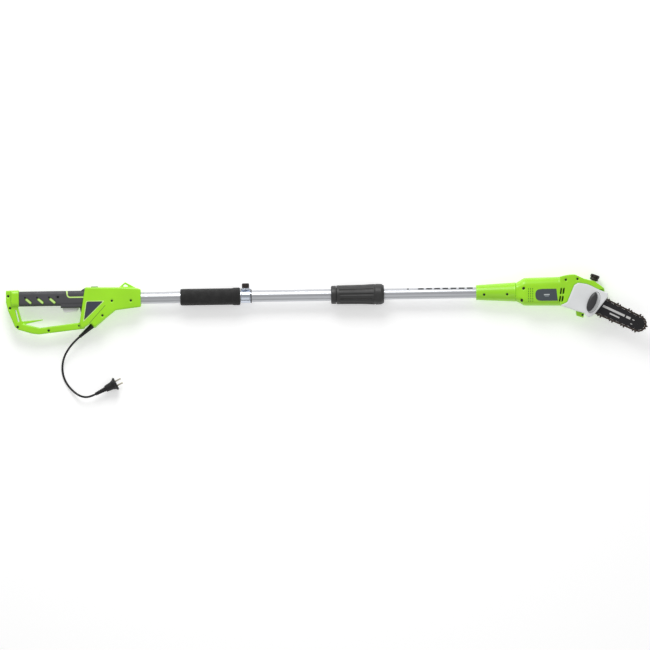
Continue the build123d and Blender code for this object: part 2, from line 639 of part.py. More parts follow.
# --- saw head: housings ----------------------------------------------------------------------------
for name, side in SIDES.items():
    with BuildPart() as motor_housing:
        loft(neck(), ruled=True)
        loft(barrel(0, BARREL_REAR, BARREL_FRONT), ruled=True)
        loft(barrel(WALL, *MOTOR_BAY), ruled=True, mode=Mode.SUBTRACT)
        plate(HEAD_TOP + HOUSING_FRONT, -BARREL_HALF_Z, PLATE_Z, corner=1.0)
        plate(LUG, -12, 12, corner=2)
        if side > 0:
            plate(HEAD_TOP + SEAM, PLATE_Z - 1, BARREL_HALF_Z, corner=1.0)
        split(bisect_by=Plane.XY, keep=keep_side(side))
        plate(HEAD_TOP + HOUSING_FRONT, -BARREL_HALF_Z + WALL, PLATE_Z - WALL, inset=WALL, mode=Mode.SUBTRACT)
        ring(MOTOR_BAY[1] - 10, BARREL_FRONT + 6, 27, 0, y=MOTOR_Y, mode=Mode.SUBTRACT)
        if side > 0:
            for slack in (0, CHAIN_SLACK):
                chamber = SPROCKET - bar_way * slack
                post(chamber.X, chamber.Y, PLATE_Z, CHAMBER_TOP, CHAMBER_R, mode=Mode.SUBTRACT)
            post(SPROCKET.X, SPROCKET.Y, PLATE_Z - WALL, PLATE_Z + 3, 14)
            post(SPROCKET.X, SPROCKET.Y, PLATE_Z - WALL - 1, PLATE_Z + 4, 11.1, mode=Mode.SUBTRACT)
            post(STUD.X, STUD.Y, PLATE_Z - WALL, BAR_Z - BAR_HALF_Z - 0.3, 9)
            post(STUD.X, STUD.Y, PLATE_Z - WALL - 1, BAR_Z, 4 + SEAT, mode=Mode.SUBTRACT)
            for start in (27, 51):
                lug = [(start, SCREW_Y - 4), (start + 3, SCREW_Y - 4), (start + 3, SCREW_Y + 4), (start, SCREW_Y + 4)]
                plate(lug, PLATE_Z - 1, SCREW_Z + 2.6, base=bar_plane)
            along_bar(26, 55, 2.1, SCREW_Y, SCREW_Z, mode=Mode.SUBTRACT)
            for column, way in ((707.5, 1), (715.5, 1), (704, -1), (712, -1)):
                foot, top = (-9, 10) if way > 0 else (-31, -14)
                slot = [(column - 3, foot), (column, foot), (column + 3, top), (column, top)]
                plate(slot, 20, BARREL_HALF_Z + 1, mode=Mode.SUBTRACT)
        else:
            post(SPROCKET.X, SPROCKET.Y, -BARREL_HALF_Z + 1, -14, 14)
            post(SPROCKET.X, SPROCKET.Y, -20.2, -13, 11.1, mode=Mode.SUBTRACT)
            with BuildSketch(cap_plane(-12)) as filler:
                Circle(9.2)
            extrude(filler.sketch, amount=20, mode=Mode.SUBTRACT)
        ring(HEAD_REAR - 1, UPPER_FRONT + SEAT, UPPER_R + SEAT, 0, mode=Mode.SUBTRACT)
        ring(UPPER_FRONT, MOTOR_BAY[0] + 1, 12, 0, mode=Mode.SUBTRACT)
        if side > 0:
            head_screw_holes()
    motor_housing.part.label = f"motor_housing_{name}"
    export_step(motor_housing.part, f"parts/motor_housing_{name}.step")

# --- saw head: trim and fasteners ---------------------------------------------------------------------
LABEL_OUTLINE = [(634, 9), (695, 9), (701, -29), (634, -29)]
with BuildPart() as label_plate:
    loft(barrel(-0.7, BARREL_REAR, BARREL_FRONT), ruled=True)
    plate(LABEL_OUTLINE, 5, BARREL_HALF_Z + 2, corner=4, mode=Mode.INTERSECT)
    loft(barrel(0, BARREL_REAR, BARREL_FRONT), ruled=True, mode=Mode.SUBTRACT)
label_plate.part.label = "label_plate"
export_step(label_plate.part, "parts/label_plate.step")

with BuildPart() as head_screws:
    for x, y, surface, length in HEAD_SCREWS:
        floor = surface - SCREW_SINK - SCREW_HEAD_T
        post(x, y, floor, floor + SCREW_HEAD_T, SCREW_HEAD_R)
        post(x, y, floor - length, floor, SCREW_SHANK_R)
head_screws.part.label = "head_screws"
export_step(head_screws.part, "parts/head_screws.step")

# --- motor ----------------------------------------------------------------------------------------------
STATOR = (620.0, 668.0)
STATOR_R = 26.5
BORE_R = 16.5
MOTOR_SHAFT_R = 4.0
with BuildPart() as stator:
    ring(*STATOR, STATOR_R, BORE_R, y=MOTOR_Y)
stator.part.label = "stator"
export_step(stator.part, "parts/stator.step")

with BuildPart() as armature:
    ring(*STATOR, BORE_R - 0.6, MOTOR_SHAFT_R, y=MOTOR_Y)
    with BuildSketch(Plane.YZ.offset(STATOR[0] - 1)) as slots:
        with Locations((MOTOR_Y, 0)):
            with PolarLocations(BORE_R - 2, 12):
                Rectangle(6, 1.6)
    extrude(slots.sketch, amount=STATOR[1] - STATOR[0] + 2, mode=Mode.SUBTRACT)
armature.part.label = "armature"
export_step(armature.part, "parts/armature.step")

with BuildPart() as rotor_shaft:
    ring(585, 741, MOTOR_SHAFT_R, 0, y=MOTOR_Y)
rotor_shaft.part.label = "rotor_shaft"
export_step(rotor_shaft.part, "parts/rotor_shaft.step")

with BuildPart() as commutator:
    ring(600, 614, 11, MOTOR_SHAFT_R, y=MOTOR_Y)
commutator.part.label = "commutator"
export_step(commutator.part, "parts/commutator.step")

with BuildPart() as brush_holders:
    for way in (-1, 1):
        with BuildSketch(Plane.YZ.offset(603)) as box:
            with Locations((MOTOR_Y, way * 19.5)):
                Rectangle(8, 16)
        extrude(box.sketch, amount=9)
brush_holders.part.label = "brush_holders"
export_step(brush_holders.part, "parts/brush_holders.step")

with BuildPart() as fan:
    ring(676, 690, 8, MOTOR_SHAFT_R, y=MOTOR_Y)
    ring(688, 690, 22, 7, y=MOTOR_Y)
    with BuildSketch(Plane.YZ.offset(679)) as blades:
        with Locations((MOTOR_Y, 0)):
            with PolarLocations(14.5, 10):
                Rectangle(14.5, 1.5)
    extrude(blades.sketch, amount=10)
fan.part.label = "fan"
export_step(fan.part, "parts/fan.step")

with BuildPart() as motor_bearings:
    for start in (586, 697):
        ring(start, start + 7, 11, MOTOR_SHAFT_R + 0.05, y=MOTOR_Y)
motor_bearings.part.label = "motor_bearings"
export_step(motor_bearings.part, "parts/motor_bearings.step")

with BuildPart() as pinion:
    ring(727.5, 734, PINION_R - 1.4, MOTOR_SHAFT_R, y=MOTOR_Y)
    for tooth in range(PINION_TEETH):
        with BuildSketch(Plane.YZ.offset(728.5)) as blade:
            with Locations((MOTOR_Y, 0)):
                with Locations(Location((0, 0), 90 + tooth * 360 / PINION_TEETH)):
                    with Locations((PINION_R - 0.4, 0)):
                        Rectangle(3.0, TOOTH)
        extrude(blade.sketch, amount=5)
pinion.part.label = "pinion"
export_step(pinion.part, "parts/pinion.step")

# --- gear, output shaft and sprocket -----------------------------------------------------------------------
with BuildPart() as crown_gear:
    post(SPROCKET.X, SPROCKET.Y, GEAR_FACE, GEAR_FACE + 2.8, GEAR_R + 4, SHAFT_R)
    for tooth in range(GEAR_TEETH):
        with BuildSketch(Plane.XY.offset(PINION_R - 1)) as rib:
            with Locations(Location((SPROCKET.X, SPROCKET.Y), (tooth + 0.5) * 360 / GEAR_TEETH)):
                with Locations((GEAR_R, 0)):
                    Rectangle(5, TOOTH)
        extrude(rib.sketch, amount=GEAR_FACE - PINION_R + 1.2)
crown_gear.part.label = "crown_gear"
export_step(crown_gear.part, "parts/crown_gear.step")

with BuildPart() as output_shaft:
    post(SPROCKET.X, SPROCKET.Y, -19.5, 30, SHAFT_R)
output_shaft.part.label = "output_shaft"
export_step(output_shaft.part, "parts/output_shaft.step")

with BuildPart() as output_bearings:
    for start in (-20, PLATE_Z - 3):
        post(SPROCKET.X, SPROCKET.Y, start, start + 6, 11, SHAFT_R + 0.05)
output_bearings.part.label = "output_bearings"
export_step(output_bearings.part, "parts/output_bearings.step")

SPROCKET_TIP_R = 14.0
with BuildPart() as drive_sprocket:
    post(SPROCKET.X, SPROCKET.Y, PLATE_Z + 3.6, BAR_Z + 5, 8.5, SHAFT_R)
    for tooth in range(6):
        with BuildSketch(Plane.XY.offset(BAR_Z - 2)) as blade:
            with Locations(Location((SPROCKET.X, SPROCKET.Y), tooth * 60)):
                with Locations((SPROCKET_TIP_R - 4.5, 0)):
                    Rectangle(9, 4.5)
        extrude(blade.sketch, amount=4)
drive_sprocket.part.label = "drive_sprocket"
export_step(drive_sprocket.part, "parts/drive_sprocket.step")

# --- guide bar --------------------------------------------------------------------------------------------------
BAR_REAR_ALONG = 24.0
SHOULDER_ALONG = 72.0
SHOULDER_HALF = 23.0
NOSE_R = 19.0
BAR_REAR_HALF = 17.0
CORE_HALF = 0.8               # half thickness of the bar's middle layer, the chain groove
GROOVE = 5.0
STAR_BORE = 4.0


def bar_layer(z_low, z_high, inset=0.0, mode=Mode.ADD):
    """The bar's outline, from its square rear end to its round nose."""
    with BuildSketch(bar_plane.offset(z_low)) as layer:
        with BuildLine():
            Polyline(
                (NOSE_ALONG, NOSE_R - inset),
                (SHOULDER_ALONG, SHOULDER_HALF - inset),
                (BAR_REAR_ALONG + inset, BAR_REAR_HALF - inset),
                (BAR_REAR_ALONG + inset, -BAR_REAR_HALF + inset),
                (SHOULDER_ALONG, -SHOULDER_HALF + inset),
                (NOSE_ALONG, -NOSE_R + inset),
            )
            ThreePointArc(
                (NOSE_ALONG, -NOSE_R + inset),
                (NOSE_ALONG + NOSE_R - inset, 0),
                (NOSE_ALONG, NOSE_R - inset),
            )
        make_face()
    extrude(layer.sketch, amount=z_high - z_low, mode=mode)


def stud_slot(z_low, z_high):
    """The slot for the bar stud and the hole for the tension pin."""
    with BuildSketch(bar_plane.offset(z_low)) as slot:
        with Locations((STUD_ALONG + 4, 0)):
            SlotOverall(18, 8.6)
        with Locations((NUT_ALONG, SCREW_Y + 3)):
            Circle(2.3)
    extrude(slot.sketch, amount=z_high - z_low, mode=Mode.SUBTRACT)


def nose_hole(z_low, z_high, radius):
    """A round hole at the centre of the nose."""
    with BuildSketch(bar_plane.offset(z_low)) as hole:
        with Locations((NOSE_ALONG, 0)):
            Circle(radius)
    extrude(hole.sketch, amount=z_high - z_low, mode=Mode.SUBTRACT)


for name, side in SIDES.items():
    with BuildPart() as bar_cheek:
        layer_low, layer_high = span(side, CORE_HALF, BAR_HALF_Z)
        bar_layer(BAR_Z + layer_low, BAR_Z + layer_high)
        stud_slot(BAR_Z - 3, BAR_Z + 3)
        nose_hole(BAR_Z - 3, BAR_Z + 3, STAR_BORE - 0.1)
    bar_cheek.part.label = f"bar_cheek_{name}"
    export_step(bar_cheek.part, f"parts/bar_cheek_{name}.step")

with BuildPart() as bar_core:
    bar_layer(BAR_Z - CORE_HALF, BAR_Z + CORE_HALF, inset=GROOVE)
    stud_slot(BAR_Z - 3, BAR_Z + 3)
    nose_hole(BAR_Z - 3, BAR_Z + 3, NOSE_R - GROOVE + 1.5)
    with BuildSketch(bar_plane.offset(BAR_Z - CORE_HALF - 0.1)) as nose_gap:
        with Locations((NOSE_ALONG + 4, 0)):
            Rectangle(16, 60)
    extrude(nose_gap.sketch, amount=2 * CORE_HALF + 0.2, mode=Mode.SUBTRACT)
    with BuildSketch(bar_plane.offset(BAR_Z - BAR_HALF_Z)) as nose_rivet:
        with Locations((NOSE_ALONG, 0)):
            Circle(STAR_BORE - 0.15)
    extrude(nose_rivet.sketch, amount=2 * BAR_HALF_Z)
bar_core.part.label = "bar_core"
export_step(bar_core.part, "parts/bar_core.step")

with BuildPart() as nose_sprocket:
    with BuildSketch(bar_plane.offset(BAR_Z - CORE_HALF + 0.15)) as star:
        with Locations((NOSE_ALONG, 0)):
            Circle(NOSE_R - GROOVE - 3)
            with PolarLocations(NOSE_R - GROOVE - 3.5, 9):
                Rectangle(6.5, 3.5)
            Circle(STAR_BORE - 0.08, mode=Mode.SUBTRACT)
    extrude(star.sketch, amount=2 * CORE_HALF - 0.3)
nose_sprocket.part.label = "nose_sprocket"
export_step(nose_sprocket.part, "parts/nose_sprocket.step")

# --- chain ----------------------------------------------------------------------------------------------------------
LINK_OUT = 3.3                # the rivets' line stands this far outside the bar's rail
CHAIN_REAR_R = 21.5
STRAP_HALF_H = 3.0
STRAP_LENGTH = 14.5
STRAP_IN = 0.95               # straps lie outside the drive links
STRAP_OUT = 2.6

with BuildLine(bar_plane) as chain_line:
    Polyline((0, CHAIN_REAR_R), (SHOULDER_ALONG, SHOULDER_HALF + LINK_OUT), (NOSE_ALONG, NOSE_R + LINK_OUT))
    ThreePointArc(
        (NOSE_ALONG, NOSE_R + LINK_OUT),
        (NOSE_ALONG + NOSE_R + LINK_OUT, 0),
        (NOSE_ALONG, -NOSE_R - LINK_OUT),
    )
    Polyline((NOSE_ALONG, -NOSE_R - LINK_OUT), (SHOULDER_ALONG, -SHOULDER_HALF - LINK_OUT), (0, -CHAIN_REAR_R))
    ThreePointArc((0, -CHAIN_REAR_R), (-CHAIN_REAR_R, 0), (0, CHAIN_REAR_R))
chain_loop = chain_line.wires()[0]
print("chain pitch:", round(chain_loop.length / PITCHES, 2))


def link_plane(index):
    """The plane of one link: X along the chain, Y outwards, Z across it."""
    at = chain_loop @ ((index + 0.5) / PITCHES)
    way = chain_loop % ((index + 0.5) / PITCHES)
    middle = bar_plane.from_local_coords(Vector(NOSE_ALONG / 2, 0, 0))
    outward = way.cross(Vector(0, 0, 1))
    if outward.dot(at - middle) < 0:
        way = way * -1
    return Plane(origin=at, x_dir=way * -1, z_dir=(0, 0, 1))


def link_shape(index, points, z_low, z_high):
    """One link's side plate, drawn in the link's own plane."""
    with BuildSketch(link_plane(index).offset(BAR_Z + z_low)) as shape:
        with BuildLine():
            Polyline(*points, close=True)
        make_face()
    extrude(shape.sketch, amount=z_high - z_low)


half = STRAP_LENGTH / 2
STRAP = [(-half, -STRAP_HALF_H), (half, -STRAP_HALF_H), (half, 2.2), (half - 2, 3), (-half + 2, 3), (-half, 2.2)]
DRIVE = [(-half, -1), (-3, -4), (-1, -7), (2, -7), (3.5, -4), (half, -1), (half, 2.4), (-half, 2.4)]
CUTTER = [(-half, -3), (half, -3), (half, 2), (5, 6), (2, 6), (0.5, 2.5), (-2, 2.5), (-3, 6.2), (-half, 5.5)]

with BuildPart() as chain_straps:
    for index in range(1, PITCHES, 2):
        for way in (-1, 1):
            if index % 4 == 3 or way == (1 if index % 8 == 1 else -1):
                link_shape(index, STRAP, *span(way, STRAP_IN, STRAP_OUT))
chain_straps.part.label = "chain_straps"
export_step(chain_straps.part, "parts/chain_straps.step")

with BuildPart() as chain_drive_links:
    for index in range(0, PITCHES, 2):
        link_shape(index, DRIVE, -0.65, 0.65)
chain_drive_links.part.label = "chain_drive_links"
export_step(chain_drive_links.part, "parts/chain_drive_links.step")

with BuildPart() as chain_cutters:
    for index in range(1, PITCHES, 4):
        way = -1 if index % 8 == 1 else 1
        link_shape(index, CUTTER, *span(way, STRAP_IN, STRAP_OUT + 0.4))
chain_cutters.part.label = "chain_cutters"
export_step(chain_cutters.part, "parts/chain_cutters.step")

# --- bar clamp and chain tension -----------------------------------------------------------------------------------
with BuildPart() as bar_stud:
    post(STUD.X, STUD.Y, PLATE_Z - WALL + 0.1, 41, 4)
bar_stud.part.label = "bar_stud"
export_step(bar_stud.part, "parts/bar_stud.step")

with BuildPart() as tension_screw:
    along_bar(27.5, 54.2, 1.95, SCREW_Y, SCREW_Z)
    along_bar(54.2, 57, 2.7, SCREW_Y, SCREW_Z)
tension_screw.part.label = "tension_screw"
export_step(tension_screw.part, "parts/tension_screw.step")

with BuildPart() as tension_nut:
    block = [
        (NUT_ALONG - 4, SCREW_Y - 3.5),
        (NUT_ALONG + 4, SCREW_Y - 3.5),
        (NUT_ALONG + 4, SCREW_Y + 6),
        (NUT_ALONG - 4, SCREW_Y + 6),
    ]
    plate(block, PLATE_Z + 0.3, BAR_Z - BAR_HALF_Z, base=bar_plane)
    along_bar(NUT_ALONG - 6, NUT_ALONG + 6, 2.03, SCREW_Y, SCREW_Z, mode=Mode.SUBTRACT)
    with BuildSketch(bar_plane.offset(BAR_Z - BAR_HALF_Z)) as pin:
        with Locations((NUT_ALONG, SCREW_Y + 3)):
            Circle(2.2)
    extrude(pin.sketch, amount=2 * BAR_HALF_Z)
tension_nut.part.label = "tension_nut"
export_step(tension_nut.part, "parts/tension_nut.step")

KNOB_LONG = 30.5
KNOB_SHORT = 12.5
KNOB_LEAN = 66.0              # the knob's long axis, from X
STEM_R = 7.0
with BuildPart() as bar_knob:
    with BuildSketch(Plane.XY.offset(COVER_Z + 0.6)) as oval:
        with Locations((STUD.X, STUD.Y)):
            Ellipse(KNOB_LONG, KNOB_SHORT, rotation=KNOB_LEAN)
    extrude(oval.sketch, amount=11.5)
    fillet(bar_knob.faces().sort_by(Axis.Z)[-1].edges(), radius=3)
    post(STUD.X, STUD.Y, BAR_Z + BAR_HALF_Z + 1.2, COVER_Z + 0.6, STEM_R)
    post(STUD.X, STUD.Y, BAR_Z, 41.6, 4.08, mode=Mode.SUBTRACT)
bar_knob.part.label = "bar_knob"
export_step(bar_knob.part, "parts/bar_knob.step")

with BuildPart() as sprocket_cover:
    plate(SEAM + COVER_EDGE, PLATE_Z + 0.2, COVER_Z, corner=1.5)
    fillet(sprocket_cover.faces().sort_by(Axis.Z)[-1].edges(), radius=1.4)
    plate(SEAM + COVER_EDGE, PLATE_Z, COVER_Z - WALL, inset=2.5, mode=Mode.SUBTRACT)
    loft(barrel(-SEAT, BARREL_REAR, BARREL_FRONT), ruled=True, mode=Mode.SUBTRACT)
    for slack in (0, CHAIN_SLACK):
        chamber = SPROCKET - bar_way * slack
        post(chamber.X, chamber.Y, PLATE_Z, CHAMBER_TOP, CHAMBER_R, mode=Mode.SUBTRACT)
    mouth = [(40, -34), (150, -34), (150, 34), (40, 34)]
    plate(mouth, PLATE_Z, BAR_Z + 4.5, base=bar_plane, mode=Mode.SUBTRACT)
    post(STUD.X, STUD.Y, COVER_Z - WALL - 1, COVER_Z + 1, STEM_R + 0.4, mode=Mode.SUBTRACT)
sprocket_cover.part.label = "sprocket_cover"
export_step(sprocket_cover.part, "parts/sprocket_cover.step")

# --- chain oil ------------------------------------------------------------------------------------------------------
with BuildPart() as oil_tank:
    tank = [(745, 12), (745, 42), (774, 31), (805, 22), (818, 10), (803, -4), (779, 8)]
    plate(tank, -31, 4, corner=1.5)
    with BuildSketch(cap_plane(-6)) as filler_neck:
        Circle(9)
    extrude(filler_neck.sketch, amount=9.5)
    with BuildSketch(cap_plane(-9)) as filler_bore:
        Circle(6.5)
    extrude(filler_bore.sketch, amount=20, mode=Mode.SUBTRACT)
oil_tank.part.label = "oil_tank"
export_step(oil_tank.part, "parts/oil_tank.step")

with BuildPart() as oil_cap:
    with BuildSketch(cap_plane(4)) as cap_disc:
        Circle(13)
    extrude(cap_disc.sketch, amount=8)
    with BuildSketch(cap_plane(12)) as cap_hub:
        Circle(11)
        with PolarLocations(11.5, 6):
            Circle(3.6)
    extrude(cap_hub.sketch, amount=10)
    with BuildSketch(cap_plane(-4)) as cap_plug:
        Circle(6.2)
    extrude(cap_plug.sketch, amount=8)
oil_cap.part.label = "oil_cap"
export_step(oil_cap.part, "parts/oil_cap.step")
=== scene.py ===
# %% [markdown]
# # A corded telescoping pole saw
# The saw lies on its side on a bench. X runs along the pole to the saw, Y to the tool's top
# and Z up from the bench, in metres. The CAD model gives most places and sizes, and the smaller
# ones are written here.
# This lesson adds what CAD leaves out: finishes, soft edges, ribs, screws, the chain and the cord.

# %% Open the CAD model
import json
from math import atan, atan2, cos, hypot, pi, radians, sin

import bmesh
import bpy
from mathutils import Matrix, Vector
from mathutils.bvhtree import BVHTree

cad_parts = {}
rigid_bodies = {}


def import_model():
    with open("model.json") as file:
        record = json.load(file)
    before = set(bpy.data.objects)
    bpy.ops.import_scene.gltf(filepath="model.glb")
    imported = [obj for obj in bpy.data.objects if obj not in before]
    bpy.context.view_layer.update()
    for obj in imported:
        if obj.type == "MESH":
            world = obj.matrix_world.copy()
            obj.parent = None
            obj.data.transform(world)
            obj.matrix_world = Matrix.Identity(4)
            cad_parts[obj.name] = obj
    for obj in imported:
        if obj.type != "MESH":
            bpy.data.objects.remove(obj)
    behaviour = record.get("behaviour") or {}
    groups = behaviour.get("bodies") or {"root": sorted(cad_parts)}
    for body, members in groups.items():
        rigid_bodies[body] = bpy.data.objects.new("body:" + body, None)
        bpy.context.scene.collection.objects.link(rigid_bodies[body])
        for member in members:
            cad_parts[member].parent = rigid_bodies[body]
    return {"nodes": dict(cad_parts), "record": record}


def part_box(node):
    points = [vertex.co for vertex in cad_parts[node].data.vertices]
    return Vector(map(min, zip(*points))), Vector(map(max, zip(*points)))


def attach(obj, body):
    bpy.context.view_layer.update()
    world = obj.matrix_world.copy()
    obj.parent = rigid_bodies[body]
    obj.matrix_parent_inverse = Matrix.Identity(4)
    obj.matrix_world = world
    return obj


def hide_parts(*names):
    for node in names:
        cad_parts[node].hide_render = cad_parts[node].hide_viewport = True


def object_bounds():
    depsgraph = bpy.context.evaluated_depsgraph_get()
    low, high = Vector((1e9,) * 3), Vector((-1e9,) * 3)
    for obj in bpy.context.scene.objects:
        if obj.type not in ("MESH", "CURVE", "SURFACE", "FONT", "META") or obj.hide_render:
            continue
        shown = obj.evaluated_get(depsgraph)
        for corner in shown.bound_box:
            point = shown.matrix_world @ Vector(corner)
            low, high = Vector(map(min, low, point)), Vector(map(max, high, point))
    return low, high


for spare in list(bpy.data.objects):
    bpy.data.objects.remove(spare)
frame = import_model()
cad_box = [list(corner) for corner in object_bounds()]
nodes = frame["nodes"]
joints = {joint["name"]: joint for joint in frame["record"]["behaviour"]["joints"]}
bench_z = cad_box[0][2]
print("CAD box:", [[round(value, 3) for value in corner] for corner in cad_box])

# %% [markdown]
# ## The view
# The tool is shown flat, seen from straight above, with the pole rising a little to the right.
# A long lens keeps the far ends from leaning. The camera could be aimed with a constraint,
# but a plain place and turn is easier to read and to repeat.

# %% Camera straight above the tool
CAMERA_HEIGHT = 20.0
VIEW_WIDTH = 1.95
POLE_RISE = radians(0.906)
lens = bpy.data.cameras.new("overhead_lens")
lens.lens_unit = "FOV"
lens.angle = 2 * atan(VIEW_WIDTH / 2 / CAMERA_HEIGHT)
camera = bpy.data.objects.new("overhead_camera", lens)
camera.location = (-0.0014, -0.0900, CAMERA_HEIGHT)
camera.rotation_euler = (0, 0, -POLE_RISE)
bpy.context.scene.collection.objects.link(camera)
bpy.context.scene.camera = camera
print("lens angle, degrees:", round(lens.angle * 180 / pi, 2))

# %% [markdown]
# ## Soft light
# A catalogue picture is lit by broad white panels, so shadows are faint and plastics show long,
# gentle highlights. Small lamps would give hard spots. Two large area lights and a bright,
# even surround do the same work as panels. The plain view transform keeps the colours as set.

# %% Light panels and surround
def light_panel(name, place, size, power):
    """A soft square panel that faces the middle of the tool."""
    panel = bpy.data.lights.new(name, "AREA")
    panel.shape = "SQUARE"
    panel.size = size
    panel.energy = power
    holder = bpy.data.objects.new(name, panel)
    holder.location = place
    holder.rotation_euler = (Vector((0, 0, 0)) - Vector(place)).to_track_quat("-Z", "Y").to_euler()
    bpy.context.scene.collection.objects.link(holder)


light_panel("key_panel", (-0.5, 2.2, 1.7), 1.6, 56)
light_panel("fill_panel", (0.6, -2.2, 2.6), 2.6, 10)
surround = bpy.data.worlds.new("white_surround")
surround.use_nodes = True
surround.node_tree.nodes["Background"].inputs["Color"].default_value = (1, 1, 1, 1)
surround.node_tree.nodes["Background"].inputs["Strength"].default_value = 0.45
bpy.context.scene.world = surround
bpy.context.scene.view_settings.view_transform = "Standard"
print("panels:", [light.name for light in bpy.data.lights])

# %% [markdown]
# ## Finishes
# Moulded plastic, rubber, foam, drawn aluminium, black oxide and bright steel all differ in
# three things: how much the colour drifts, how rough the surface is, and how fine its grain is.
# Image textures could hold that, but node patterns stay sharp at any distance and need no files.
# One helper builds the common pattern, and each finish gives it its own numbers.

# %% A helper that makes one finish
def from_screen(red, green, blue):
    """A colour as a screen shows it, 0 to 255, turned into the linear values that shaders use."""
    steps = [value / 255 for value in (red, green, blue)]
    linear = [v / 12.92 if v <= 0.04045 else ((v + 0.055) / 1.055) ** 2.4 for v in steps]
    return (*linear, 1.0)


def scaled(colour, factor):
    """The same hue, lighter or darker."""
    return (*[min(1.0, channel * factor) for channel in colour[:3]], 1.0)


class Finish:
    """A material under construction: its node tree, shader and pattern coordinates."""

    def __init__(self, name, stretch=(1, 1, 1)):
        self.material = bpy.data.materials.new(f"{name}_finish")
        self.material.use_nodes = True
        self.tree = self.material.node_tree
        self.shader = self.tree.nodes["Principled BSDF"]
        place = self.tree.nodes.new("ShaderNodeTexCoord")
        self.place = place.outputs["Object"]
        mapping = self.tree.nodes.new("ShaderNodeMapping")
        mapping.inputs["Scale"].default_value = stretch
        self.link(self.place, mapping.inputs["Vector"])
        self.grain_place = mapping.outputs["Vector"]

    def link(self, source, target):
        self.tree.links.new(source, target)

    def noise(self, scale, detail=3.0):
        """A soft random pattern, about 1/scale metres across."""
        node = self.tree.nodes.new("ShaderNodeTexNoise")
        node.inputs["Scale"].default_value = scale
        node.inputs["Detail"].default_value = detail
        self.link(self.grain_place, node.inputs["Vector"])
        return node.outputs["Fac"]

    def cells(self, scale):
        """Round cells, as in foam and leather-grain rubber."""
        node = self.tree.nodes.new("ShaderNodeTexVoronoi")
        node.inputs["Scale"].default_value = scale
        self.link(self.grain_place, node.inputs["Vector"])
        return node.outputs["Distance"]

    def between(self, pattern, low, high):
        """Turns a 0 to 1 pattern into values from low to high."""
        node = self.tree.nodes.new("ShaderNodeMapRange")
        node.inputs["From Min"].default_value = 0.3
        node.inputs["From Max"].default_value = 0.7
        node.inputs["To Min"].default_value = low
        node.inputs["To Max"].default_value = high
        self.link(pattern, node.inputs["Value"])
        return node.outputs["Result"]

    def mixed(self, mask, under, over):
        """The colour under where the mask is 0 and the colour over where it is 1."""
        node = self.tree.nodes.new("ShaderNodeMix")
        node.data_type = "RGBA"
        self.link(mask, node.inputs["Factor"])
        for socket, colour in (("A", under), ("B", over)):
            target = [s for s in node.inputs if s.name == socket and s.type == "RGBA"][0]
            if isinstance(colour, bpy.types.NodeSocket):
                self.link(colour, target)
            else:
                target.default_value = colour
        return [s for s in node.outputs if s.type == "RGBA"][0]

    def maths(self, operation, first, second=0.0):
        """One sum on two values, each a number or a pattern."""
        node = self.tree.nodes.new("ShaderNodeMath")
        node.operation = operation
        for socket, value in zip(node.inputs, (first, second)):
            if isinstance(value, bpy.types.NodeSocket):
                self.link(value, socket)
            else:
                socket.default_value = value
        return node.outputs["Value"]

    def patch(self, centre, turn, half_x, half_y):
        """1 inside a turned rectangle seen from above, and 0 outside it."""
        mapping = self.tree.nodes.new("ShaderNodeMapping")
        mapping.vector_type = "TEXTURE"
        mapping.inputs["Location"].default_value = (*centre, 0)
        mapping.inputs["Rotation"].default_value = (0, 0, turn)
        self.link(self.place, mapping.inputs["Vector"])
        split = self.tree.nodes.new("ShaderNodeSeparateXYZ")
        self.link(mapping.outputs["Vector"], split.inputs["Vector"])
        inside_x = self.maths("LESS_THAN", self.maths("ABSOLUTE", split.outputs["X"]), half_x)
        inside_y = self.maths("LESS_THAN", self.maths("ABSOLUTE", split.outputs["Y"]), half_y)
        return self.maths("MULTIPLY", inside_x, inside_y)

    def surface(self, colour, rough, grain, depth, drift=0.06, metal=0.0, pattern="noise"):
        """Colour drift, uneven gloss and a fine grain, all from patterns."""
        slow = self.noise(14.0)
        self.colour = self.mixed(
            self.between(slow, 0, 1), scaled(colour, 1 - drift), scaled(colour, 1 + drift)
        )
        self.link(self.colour, self.shader.inputs["Base Color"])
        self.link(
            self.between(self.noise(60.0), rough * 0.85, rough * 1.15), self.shader.inputs["Roughness"]
        )
        self.shader.inputs["Metallic"].default_value = metal
        fine = self.cells(grain) if pattern == "cells" else self.noise(grain)
        bump = self.tree.nodes.new("ShaderNodeBump")
        bump.inputs["Strength"].default_value = 0.6
        bump.inputs["Distance"].default_value = depth
        self.link(fine, bump.inputs["Height"])
        self.link(bump.outputs["Normal"], self.shader.inputs["Normal"])
        return self.material

    def paint_over(self, mask, ink):
        """Prints an ink colour over the finish where the mask is 1."""
        self.colour = self.mixed(mask, self.colour, ink)
        self.link(self.colour, self.shader.inputs["Base Color"])


# %% [markdown]
# ## Plastics and rubbers
# The housings are glossy ABS with a fine spark-eroded grain, the grip a soft two-shot rubber with
# a stippled face, and the collar glass-filled nylon, which is duller. Grain sizes are real ones:
# 0.3 mm on the shells, 1 mm stipple on the grip and half-millimetre cells in the foam.

# %% Plastic and rubber finishes
finishes = {}


def plastic(
    slot, colour, rough, grain=2600.0, depth=0.00004, drift=0.05, pattern="noise", stretch=(1, 1, 1)
):
    """A moulded finish for one of the record's material slots."""
    finish = Finish(slot, stretch)
    finishes[slot] = finish.surface(colour, rough, grain, depth, drift, pattern=pattern)
    return finish


